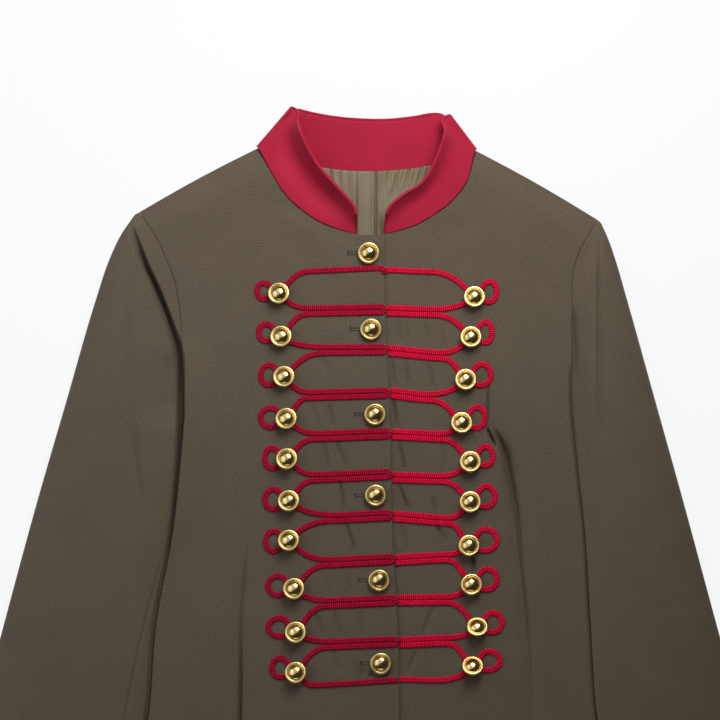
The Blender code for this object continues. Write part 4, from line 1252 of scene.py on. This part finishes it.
def make_neck_lining(rows=60, columns=140):
    """Rows down from the seam: a flat panel with a flap, less the gathers, which fade downward.

    A gather is a bell curve across less two smaller ones beside it, and leans as it goes down.
    """
    down = np.linspace(0, 1, rows)[:, None]
    across = np.linspace(-1, 1, columns)[None]
    half = LINING_HALF_WIDTH - LINING_NARROWS * down**1.5
    x = LINING_MIDDLE + across * half
    below = down * LINING_DEPTH
    y = read(BACK_COLLAR, "x", "y", x) - LINING_SEAM_DROP + LINING_TUCK - below
    flap = ease((x - FLAP[0]) / 1.6) * ease((FLAP[1] - x) / 1.2)
    height = UNDER_WALL + 2.2 + 1.1 * flap
    for gather in GATHERS:
        aside = (x - gather.x - gather.lean * below) / gather.width
        fade = 1 - ease((below - gather.length * 0.3) / gather.length)
        beside = 0.4 * np.exp(-((np.abs(aside) - 1.9) ** 2))
        height = height - gather.depth * fade * (np.exp(-(aside**2)) - beside)
    soft = 0.5 * np.sin(x / 7.0 + below / 21.0) * np.sin(below / 24.0)
    height = np.maximum(height + soft * down, UNDER_WALL + 0.25)
    points = np.dstack([x, y, height])
    name = "neck_lining"
    return cloth(
        name + "_satin", points, satin, "khaki_lining_satin", [name], LINING_WALL * 0.5, 1.0
    )


neck_lining = make_neck_lining()

# %% [markdown]
# Each side of the frogging is one long braid: out along a band, across itself under a button, round
# a small loop, back along the next band, and a turn at the front edge into the next lobe. The path
# is worked out from a table with a row for each button. The cross-section is carried along it.

# %% The braid's tables
BRAID_WIDTH = 5.1
BRAID_THICK = 2.0
BRAID_PITCH = 5.05
Row = namedtuple(
    "Row", "left_x left_y left_tip left_mid left_half right_x right_y right_tip right_mid right_half"
)
FROGGING = [
    Row(-75.5, 188.5, -97.0, 2.4, 7.0, 92.0, 185.5, 114.0, 4.7, 8.9),
    Row(-73.5, 151.5, -95.5, 3.7, 7.4, 89.0, 151.0, 110.0, 4.6, 8.9),
    Row(-71.0, 117.0, -93.7, 1.7, 8.7, 84.5, 114.5, 109.0, 4.5, 9.2),
    Row(-69.0, 81.0, -93.7, 1.2, 8.3, 81.0, 77.5, 104.1, 4.8, 9.0),
    Row(-68.5, 46.5, -90.3, 0.8, 8.7, 88.5, 44.0, 110.9, 5.2, 8.2),
    Row(-67.0, 10.5, -90.3, 1.5, 8.7, 88.5, 9.5, 112.7, 4.9, 8.9),
    Row(-67.0, -23.5, -89.7, -0.6, 8.7, 87.5, -28.0, 114.4, 5.0, 9.4),
    Row(-62.5, -65.0, -87.7, 2.7, 8.3, 89.5, -61.5, 114.4, 4.7, 9.0),
    Row(-61.0, -102.5, -87.5, 4.5, 7.9, 94.5, -99.0, 118.7, 5.0, 8.6),
    Row(-61.0, -137.0, -84.4, 4.2, 8.3, 90.5, -132.5, 117.0, 5.6, 8.2),
]
Band = namedtuple("Band", "left_y left_fork_x left_fork_y right_y right_fork_x right_fork_y")
BANDS = [
    Band(210.7, -47.3, 208.1, 209.0, 52.5, 207.7),
    Band(175.0, -49.9, 173.7, 174.1, 57.6, 172.8),
    Band(140.6, -36.1, 140.2, 139.7, 63.6, 135.4),
    Band(103.2, -49.9, 101.5, 103.2, 52.5, 99.7),
    Band(68.4, -43.9, 66.2, 67.9, 63.6, 65.8),
    Band(33.5, -44.7, 30.9, 30.9, 63.6, 29.6),
    Band(-1.7, -29.2, -3.9, -2.6, 69.7, -6.5),
    Band(-39.6, -34.4, -42.2, -40.4, 67.9, -37.9),
    Band(-74.8, -35.3, -77.4, -74.8, 67.9, -74.4),
    Band(-110.5, -33.5, -112.7, -111.4, 67.9, -109.7),
    Band(-143.2, -44.7, -147.9, -142.8, 60.0, -143.8),
]
EDGE_REACH = {"left": 3.7, "right": 1.0}
LAST_EDGE_REACH = 0.2
LOOP_SHOULDER = 13.5
CROSSING_LIFT = 1.6
CROSSING_REACH = 13.0

# %% The braid's path


def bezier(start, start_pull, end_pull, end, steps=16):
    """A cubic curve that leaves its start towards one pull point and reaches its end from the other."""
    part = np.linspace(0, 1, steps + 1)[1:, None]
    rest = 1 - part
    return (
        rest**3 * start + 3 * rest**2 * part * start_pull
        + 3 * rest * part**2 * end_pull + part**3 * end
    )


def strand(side, row, band, turn):
    """Half a lobe: along its band to the fork, down to the button, under it and round to the tip."""
    out = -1.0 if side == "left" else 1.0
    half = 0.0 if band in (BANDS[0], BANDS[-1]) else -turn * BRAID_PITCH / 2
    y = getattr(band, side + "_y") + half
    reach = LAST_EDGE_REACH if band is BANDS[-1] else EDGE_REACH[side]
    edge = np.array([float(body("edge", y)) + out * reach, y])
    fork = np.array([getattr(band, side + "_fork_x"), getattr(band, side + "_fork_y") + half])
    button = np.array([getattr(row, side + "_x"), getattr(row, side + "_y")])
    away = np.abs(button - fork)
    pull = min(8.0, 0.42 * away[1] + 0.5)
    level = np.array([out * 0.55 * away[0], 0.0])
    steep = np.array([out * pull, -turn * pull])
    middle = getattr(row, side + "_mid")
    side_dip = middle - turn * getattr(row, side + "_half")
    shoulder = button + [out * LOOP_SHOULDER, side_dip]
    tip = np.array([getattr(row, side + "_tip") - out * BRAID_WIDTH / 2, button[1] + middle])
    low = min(7.0, 0.6 * abs(side_dip))
    round_x, round_y = 0.55 * (tip[0] - shoulder[0]), 0.55 * (shoulder[1] - tip[1])
    return np.vstack([
        edge[None],
        bezier(edge, edge * 0.6 + fork * 0.4, fork - level * 0.5, fork)[:-1],
        bezier(fork, fork + level, button - steep, button),
        bezier(button, button + [out * 7.0, -turn * low], shoulder - [out * 4.5, 0], shoulder),
        bezier(shoulder, shoulder + [round_x, 0], tip + [0, round_y], tip),
    ])


def braid_paths(side):
    """The lobes of one side. On the left, half circles at the front edge join them into one path."""
    lobes = []
    for row, above, below in zip(FROGGING, BANDS, BANDS[1:]):
        upper, lower = strand(side, row, above, 1.0), strand(side, row, below, -1.0)
        lobes.append(np.vstack([upper, lower[::-1][1:]]))
    if side == "right":
        return lobes
    start = lobes[0][0]
    path = [np.array([[start[0] + 3.3, start[1] - 4.6], [start[0] + 3.6, start[1] - 1.6]]), lobes[0]]
    for before, after in zip(lobes, lobes[1:]):
        middle, radius = (before[-1] + after[0]) / 2, (before[-1, 1] - after[0, 1]) / 2
        turn = np.linspace(RIGHT_ANGLE, -RIGHT_ANGLE, 9)[1:-1]
        path.append(middle + radius * np.stack([np.cos(turn), np.sin(turn)], axis=1))
        path.append(after)
    return [np.vstack(path)]


# %% [markdown]
# The braid's cross-section is a flat loaf with a groove along its middle. Its ribs slant back from
# the groove on both sides, as in a plait. Four stations a rib and eleven points round are enough,
# because the shading is smooth.

# %% The braid's surface
STATION_MM = 0.42
TOP_PARTS = np.array([-1.0, -0.9, -0.66, -0.3, 0.0, 0.3, 0.66, 0.9, 1.0])
SMOOTHING = np.hanning(7) / np.hanning(7).sum()


def crossing_lift(path, run):
    """The second pass over each button's crossing is lifted over the first."""
    lift = np.zeros(len(run))
    for side in ("left", "right"):
        for row in FROGGING:
            spot = np.array([getattr(row, side + "_x"), getattr(row, side + "_y")])
            far = np.hypot(*(path - spot).T)
            near = np.flatnonzero(far < 3.0)
            if len(near) == 0:
                continue
            last = near[-1] - np.argmin(far[near][::-1][:20])
            away = np.abs(run - run[last]) / CROSSING_REACH
            lift = np.maximum(lift, CROSSING_LIFT * ease((1 - away) * 1.6))
    return lift


def braid_tube(side, path):
    """Top: loaf, less a bell-shaped groove, plus ribs by the cosine of the run. Bottom: flat."""
    coarse = run_along(path)
    run = np.arange(0, coarse[-1], STATION_MM)
    fine = np.stack([np.interp(run, coarse, path[:, axis]) for axis in (0, 1)], axis=1)
    reach = len(SMOOTHING) // 2
    padded = np.vstack([[fine[0]] * reach, fine, [fine[-1]] * reach])
    fine = np.stack([np.convolve(padded[:, axis], SMOOTHING, "valid") for axis in (0, 1)], axis=1)
    along = np.gradient(fine, axis=0)
    along /= np.linalg.norm(along, axis=1)[:, None]
    normal = np.stack([-along[:, 1], along[:, 0]], axis=1)
    top = TOP_PARTS[None]
    ribs = 0.5 + 0.5 * np.cos(2 * math.pi * (run[:, None] / RIB_MM - RIB_SLANT * np.abs(top)))
    loaf = BRAID_THICK * np.sqrt(np.clip(1 - 0.97 * np.abs(top) ** 3.2, 0, 1))
    top_z = loaf * (0.5 + 0.5 * ribs**0.8) - 0.5 * np.exp(-((top / 0.2) ** 2))
    aside = top * (BRAID_WIDTH / 2) * (0.87 + 0.15 * ribs)
    bottom = (BRAID_WIDTH / 2) * 0.85 * np.broadcast_to([1.0, -1.0], (len(run), 2))
    aside = np.hstack([aside, bottom])
    rise = np.hstack([top_z, np.zeros_like(bottom)]) + 0.35
    plan = fine[:, None] + aside[..., None] * normal[:, None]
    base = front_height(side, plan[..., 0], plan[..., 1])
    points = np.dstack([plan, base + rise + crossing_lift(fine, run)[:, None]])
    ribs_along = np.broadcast_to(run[:, None] / RIB_MM, points.shape[:2])
    parts = np.broadcast_to(np.append(TOP_PARTS, [0.9, -0.9])[None], points.shape[:2])
    return points, np.dstack([ribs_along, parts])


def make_braid(side):
    """All tubes of one side in one mesh, each closed at its ends."""
    points, cloth_mm, faces, start = [], [], [], 0
    for path in braid_paths(side):
        tube, places = braid_tube(side, path)
        count, around = tube.shape[:2]
        corners = np.arange(count)[:, None] * around + (np.arange(around + 1) % around)[None] + start
        sides = [corners[:-1, :-1], corners[1:, :-1], corners[1:, 1:], corners[:-1, 1:]]
        faces += np.stack(sides, axis=-1).reshape(-1, 4).tolist()
        faces += [corners[0, :-1].tolist(), corners[-1, :-1][::-1].tolist()]
        points.append(tube.reshape(-1, 3))
        cloth_mm.append(places.reshape(-1, 2))
        start += tube.shape[0] * around
    name = "braid_" + side
    piece = mesh_of(
        name + "_cord", np.vstack(points), faces, np.vstack(cloth_mm), crimson[side]
    )
    return dress(piece, "crimson_braid", name)


for side in ("left", "right"):
    make_braid(side)

# %% [markdown]
# A button is a stamped disc: a bevelled rim, a groove and a high dome. It is turned from a profile
# of radius and height, as on a lathe. Its faces past the dome take the rubbed plating. The centre
# buttons lie level, and the side buttons lean a little towards the collar, the lowest two on the
# right much more.

# %% The buttons
Turned = namedtuple("Turned", "radius height")
RIM = [
    Turned(0.0, 0.3), Turned(5.0, 1.3), Turned(8.5, 2.2), Turned(9.15, 2.6), Turned(9.35, 3.1),
    Turned(9.25, 3.6), Turned(8.95, 4.0), Turned(8.5, 4.2), Turned(8.0, 4.26), Turned(7.5, 4.2),
    Turned(7.15, 4.0), Turned(6.95, 3.6), Turned(6.85, 3.1),
]
DOME_RADIUS = 6.75
DOME_FOOT = 3.0
BUTTON_HEIGHT = 7.4
BUTTON_SPOKES = 48
SIDE_TILT = -10.0
LEANING_TILT = -35.0
LEANING_ROWS = (8, 9)
LEANING_LIFT = 0.8
SIDE_ROLL = 4.0
ON_CLOTH = 0.4
ON_BRAID = 0.3
CENTRE_BUTTONS = [
    Point(1.5, 223.5), Point(3.5, 158.0), Point(7.0, 85.0),
    Point(7.5, 15.5), Point(10.5, -57.5), Point(12.0, -129.0),
]


def button_surface():
    """The rim's profile, then a dome: radius by the cosine and height by the sine of one angle."""
    rim = np.array(RIM, float)
    fine_rim = points_at(rim, np.linspace(0, run_along(rim)[-1], 24))
    angle = np.linspace(0.06, RIGHT_ANGLE, 12)
    dome = np.stack(
        [DOME_RADIUS * np.cos(angle), DOME_FOOT + (BUTTON_HEIGHT - DOME_FOOT) * np.sin(angle)], axis=1
    )
    profile = np.vstack([fine_rim[1:], dome[:-1]])
    turn = np.arange(BUTTON_SPOKES) * 2 * math.pi / BUTTON_SPOKES
    ring = np.stack([np.cos(turn), np.sin(turn)], axis=1)
    spun = profile[:, None, :1] * ring[None]
    height = np.broadcast_to(profile[:, 1:, None], (*spun.shape[:2], 1))
    points = np.concatenate([spun, height], axis=2).reshape(-1, 3)
    bottom, tip = len(points), len(points) + 1
    points = np.vstack([points, [0, 0, fine_rim[0, 1]], [0, 0, BUTTON_HEIGHT]])
    corners = np.arange(len(profile))[:, None] * BUTTON_SPOKES
    corners = corners + (np.arange(BUTTON_SPOKES + 1) % BUTTON_SPOKES)[None]
    sides = np.stack([corners[:-1, :-1], corners[:-1, 1:], corners[1:, 1:], corners[1:, :-1]], axis=-1)
    first, last = corners[0], corners[-1]
    caps = [(bottom, after, before) for before, after in zip(first, first[1:])]
    caps += [(tip, before, after) for before, after in zip(last, last[1:])]
    return points, sides.reshape(-1, 4).tolist() + caps


BUTTON_POINTS, BUTTON_FACES = button_surface()
FACE_RADII = [np.hypot(*BUTTON_POINTS[list(face), :2].mean(axis=0)) for face in BUTTON_FACES]
ON_RIM = [int(radius > DOME_RADIUS) for radius in FACE_RADII]


def make_button(name, x, y, z, tilt, roll):
    """A button turned about X by its tilt and about Y by its roll, in degrees, then put in place."""
    tilt, roll = math.radians(tilt), math.radians(roll)
    about_x = np.array([
        [1, 0, 0], [0, math.cos(tilt), -math.sin(tilt)], [0, math.sin(tilt), math.cos(tilt)],
    ])
    about_y = np.array([
        [math.cos(roll), 0, math.sin(roll)], [0, 1, 0], [-math.sin(roll), 0, math.cos(roll)],
    ])
    points = BUTTON_POINTS @ (about_y @ about_x).T + [x, y, z]
    mesh = bpy.data.meshes.new(name + "_gilt")
    mesh.from_pydata((points * MM).tolist(), [], BUTTON_FACES)
    mesh.shade_smooth()
    mesh.materials.append(gold)
    mesh.materials.append(soft_gold)
    mesh.polygons.foreach_set("material_index", ON_RIM)
    piece = bpy.data.objects.new(name + "_gilt", mesh)
    bpy.context.scene.collection.objects.link(piece)
    return dress(piece, "gold_button", name)


OVER_BRAID = ON_BRAID + BRAID_THICK + CROSSING_LIFT
for index, button in enumerate(CENTRE_BUTTONS):
    z = float(front_height("left", button.x, button.y)) + ON_CLOTH
    make_button(f"centre_button_{index + 1}", button.x, button.y, z, 0, 0)
for side, sign in (("left", -1.0), ("right", 1.0)):
    for index, row in enumerate(FROGGING):
        x, y = getattr(row, side + "_x"), getattr(row, side + "_y")
        leans = side == "right" and index in LEANING_ROWS
        z = float(front_height(side, x, y)) + OVER_BRAID + (LEANING_LIFT if leans else 0.0)
        tilt = LEANING_TILT if leans else SIDE_TILT
        make_button(f"{side}_button_{index + 1}", x, y, z, tilt, sign * SIDE_ROLL)

# %% [markdown]
# Each centre button has a worked buttonhole: a slit with stitches packed round it in dark thread and
# a bar across its outer end. Only the end that sticks out beside the button shows. All six are one
# mesh: a ribbon of ribs carried round each slit.

# %% The buttonholes
HOLE_LENGTH = 21.0
HOLE_START = 17.5
HOLE_HALF_WIDTH = 1.1
BAR_HALF_LENGTH = 2.7
STITCH_MM = 0.9


def ribbon(path, width, thick, base):
    """A closed band of stitches along a path: five points across, raised by a sine a stitch."""
    run = run_along(path)
    fine = np.arange(0, run[-1], STITCH_MM / 4)
    line = np.stack([np.interp(fine, run, path[:, axis]) for axis in (0, 1)], axis=1)
    along = np.gradient(line, axis=0)
    along /= np.linalg.norm(along, axis=1)[:, None]
    normal = np.stack([-along[:, 1], along[:, 0]], axis=1)
    across = np.array([-0.5, -0.3, 0.0, 0.3, 0.5])
    ribs = 0.55 + 0.45 * np.cos(2 * math.pi * fine / STITCH_MM)
    rise = thick * ribs[:, None] * np.sqrt(np.clip(1 - (2 * across[None]) ** 2, 0, 1))
    plan = line[:, None] + (across[None, :, None] * width) * normal[:, None]
    return np.dstack([plan, base + rise + 0.05])


def make_buttonholes():
    """Two ribbons a hole: one round the slit by way of a half circle, and one along the bar."""
    points, faces, start = [], [], 0
    for button in CENTRE_BUTTONS:
        left = button.x - HOLE_START
        base = float(front_height("left", left + 4, button.y))
        turn = np.linspace(RIGHT_ANGLE, 3 * RIGHT_ANGLE, 9)
        half_circle = HOLE_HALF_WIDTH * np.stack([np.cos(turn), np.sin(turn)], axis=1)
        end = half_circle + [left + 1.5, button.y]
        far = left + HOLE_LENGTH
        above, below = button.y + HOLE_HALF_WIDTH, button.y - HOLE_HALF_WIDTH
        slit = np.vstack([[[far, above]], end, [[far, below]]])
        bar_x = left - 0.4
        bar = np.array([[bar_x, button.y + BAR_HALF_LENGTH], [bar_x, button.y - BAR_HALF_LENGTH]])
        for path, width in ((slit, 1.1), (bar, 1.0)):
            band = ribbon(path, width, 0.35, base)
            points.append(band.reshape(-1, 3))
            faces.append(grid_faces(*band.shape[:2])[:, ::-1] + start)
            start += len(points[-1])
    points, faces = np.vstack(points), np.vstack(faces)
    piece = mesh_of("buttonholes", points, faces, points[:, :2], dark_thread)
    return dress(piece, "olive_twill")


make_buttonholes()

# %% [markdown]
# Each piece of cloth is declared with the size that it was cut to, in metres: width, length and then
# area in square metres. The fronts, the back and the sleeve halves lie on each other, and the collar
# is folded.

# %% The cut of each sheet
Cut = namedtuple("Cut", "piece width length area held rests_on")
for cut in [
    Cut(fronts["left"], 0.26, 0.67, 0.140, "laid", ["back"]),
    Cut(fronts["right"], 0.24, 0.67, 0.133, "laid", ["back"]),
    Cut(back, 0.47, 0.67, 0.265, "laid", ["floor"]),
    Cut(sleeves["left"][0], 0.17, 0.62, 0.085, "laid", ["sleeve_left_under"]),
    Cut(sleeves["left"][1], 0.16, 0.62, 0.075, "laid", ["floor"]),
    Cut(sleeves["right"][0], 0.17, 0.62, 0.080, "laid", ["sleeve_right_under"]),
    Cut(sleeves["right"][1], 0.16, 0.62, 0.070, "laid", ["floor"]),
    Cut(collar, 0.05, 0.42, 0.017, "folded", ["back"]),
    Cut(neck_lining, 0.12, 0.08, 0.006, "laid", ["back"]),
]:
    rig.sheet(
        cut.piece, flat=(cut.width, cut.length), held=cut.held, rests_on=cut.rests_on, area=cut.area
    )

# %% [markdown]
# The photograph was taken from straight above with a long lens, so the camera looks down from 3 m.
# The frame is 619 mm wide at the height of the cloth, and its middle lies a little above the
# jacket's middle. The hem and the cuffs are below the frame.

# %% The camera
CAMERA_HEIGHT = 3.0
CAMERA_X, CAMERA_Y = -0.006, 0.1316
CLOTH_HEIGHT = 0.012
FRAME_WIDTH = 0.619
SENSOR_WIDTH = 36.0
camera_data = bpy.data.cameras.new("Camera")
camera_data.sensor_width = SENSOR_WIDTH
camera_data.lens = SENSOR_WIDTH * (CAMERA_HEIGHT - CLOTH_HEIGHT) / FRAME_WIDTH
camera_data.clip_end = 20.0
camera = bpy.data.objects.new("Camera", camera_data)
camera.location = (CAMERA_X, CAMERA_Y, CAMERA_HEIGHT)
bpy.context.scene.collection.objects.link(camera)
bpy.context.scene.camera = camera
print(f"Lens {camera_data.lens:.0f} mm")

# %% [markdown]
# The floor is a plain white sheet that glows a little, as a light table does, so that it stays even
# and pale. A small key light stands near the collar, a little to the right, and makes the folds and
# buttons throw short soft shadows to the left and down. A broad light overhead gives most of the even
# light and falls off towards the hem. A soft, cool one low at the left opens the left sleeve, and a
# weak, warm one at the hem side puts the small lower glint in the domes.

# %% The floor and the lights
FLOOR_HALF = 4.0
FLOOR_DEPTH = 0.5
floor_white, floor_shader = new_material("Matt white floor", 0.9)
floor_shader.inputs["Base Color"].default_value = (0.08, 0.08, 0.08, 1.0)
floor_shader.inputs["Emission Color"].default_value = (1.0, 1.0, 1.0, 1.0)
floor_shader.inputs["Emission Strength"].default_value = 0.85
FLOOR_CORNERS = np.array([[-1, -1], [1, -1], [1, 1], [-1, 1]]) * FLOOR_HALF / MM
floor_points = np.column_stack([FLOOR_CORNERS, np.full(4, -FLOOR_DEPTH)])
floor = mesh_of("floor", floor_points, np.array([[0, 1, 2, 3]]), floor_points[:, :2], floor_white)
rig.stage(floor)


def soft_light(name, place, aim, size, power, colour="#ffffff"):
    """A rectangular area light that points from its place to its aim."""
    data = bpy.data.lights.new(name, "AREA")
    data.shape = "RECTANGLE"
    data.size, data.size_y = size
    data.energy = power
    data.color = linear(colour)[:3]
    made = bpy.data.objects.new(name, data)
    made.location = place
    direction = np.array(aim) - np.array(place)
    flat = math.hypot(direction[0], direction[1])
    made.rotation_euler = (
        math.atan2(flat, -direction[2]), 0.0, math.atan2(-direction[0], direction[1])
    )
    bpy.context.scene.collection.objects.link(made)


soft_light("Key", (0.17, 0.74, 0.70), (-0.5, 0.25, 0.0), (0.6, 0.5), 10.6)
soft_light("Overhead", (-1.4, 1.8, 3.2), (-0.35, 0.15, 0.0), (5.2, 4.6), 52.0)
soft_light("Window", (-1.15, 0.1, 0.75), (-0.3, 0.05, 0.0), (1.3, 1.3), 7.2, "#e8eeff")
soft_light("Low fill", (-0.05, -1.6, 0.55), (0.0, 0.0, 0.0), (1.2, 0.35), 2.4, "#fff0dd")
world = bpy.data.worlds.new("Studio")
world.use_nodes = True
world.node_tree.nodes["Background"].inputs["Color"].default_value = (1.0, 1.0, 1.0, 1.0)
world.node_tree.nodes["Background"].inputs["Strength"].default_value = 0.04
bpy.context.scene.world = world
bpy.context.scene.view_settings.view_transform = "Standard"

# %% [markdown]
# The last cell writes the box of the solids and the box of the finished jacket.

# %% The size and the end
visual_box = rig.bounds()
boxes = {"cad": [list(end) for end in cad_box], "visual": [list(end) for end in visual_box]}
with open("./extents.json", "w") as size_file:
    json.dump(boxes, size_file)
print("The finished jacket spans", [round(1000 * (b - a), 1) for a, b in zip(*visual_box)], "mm")
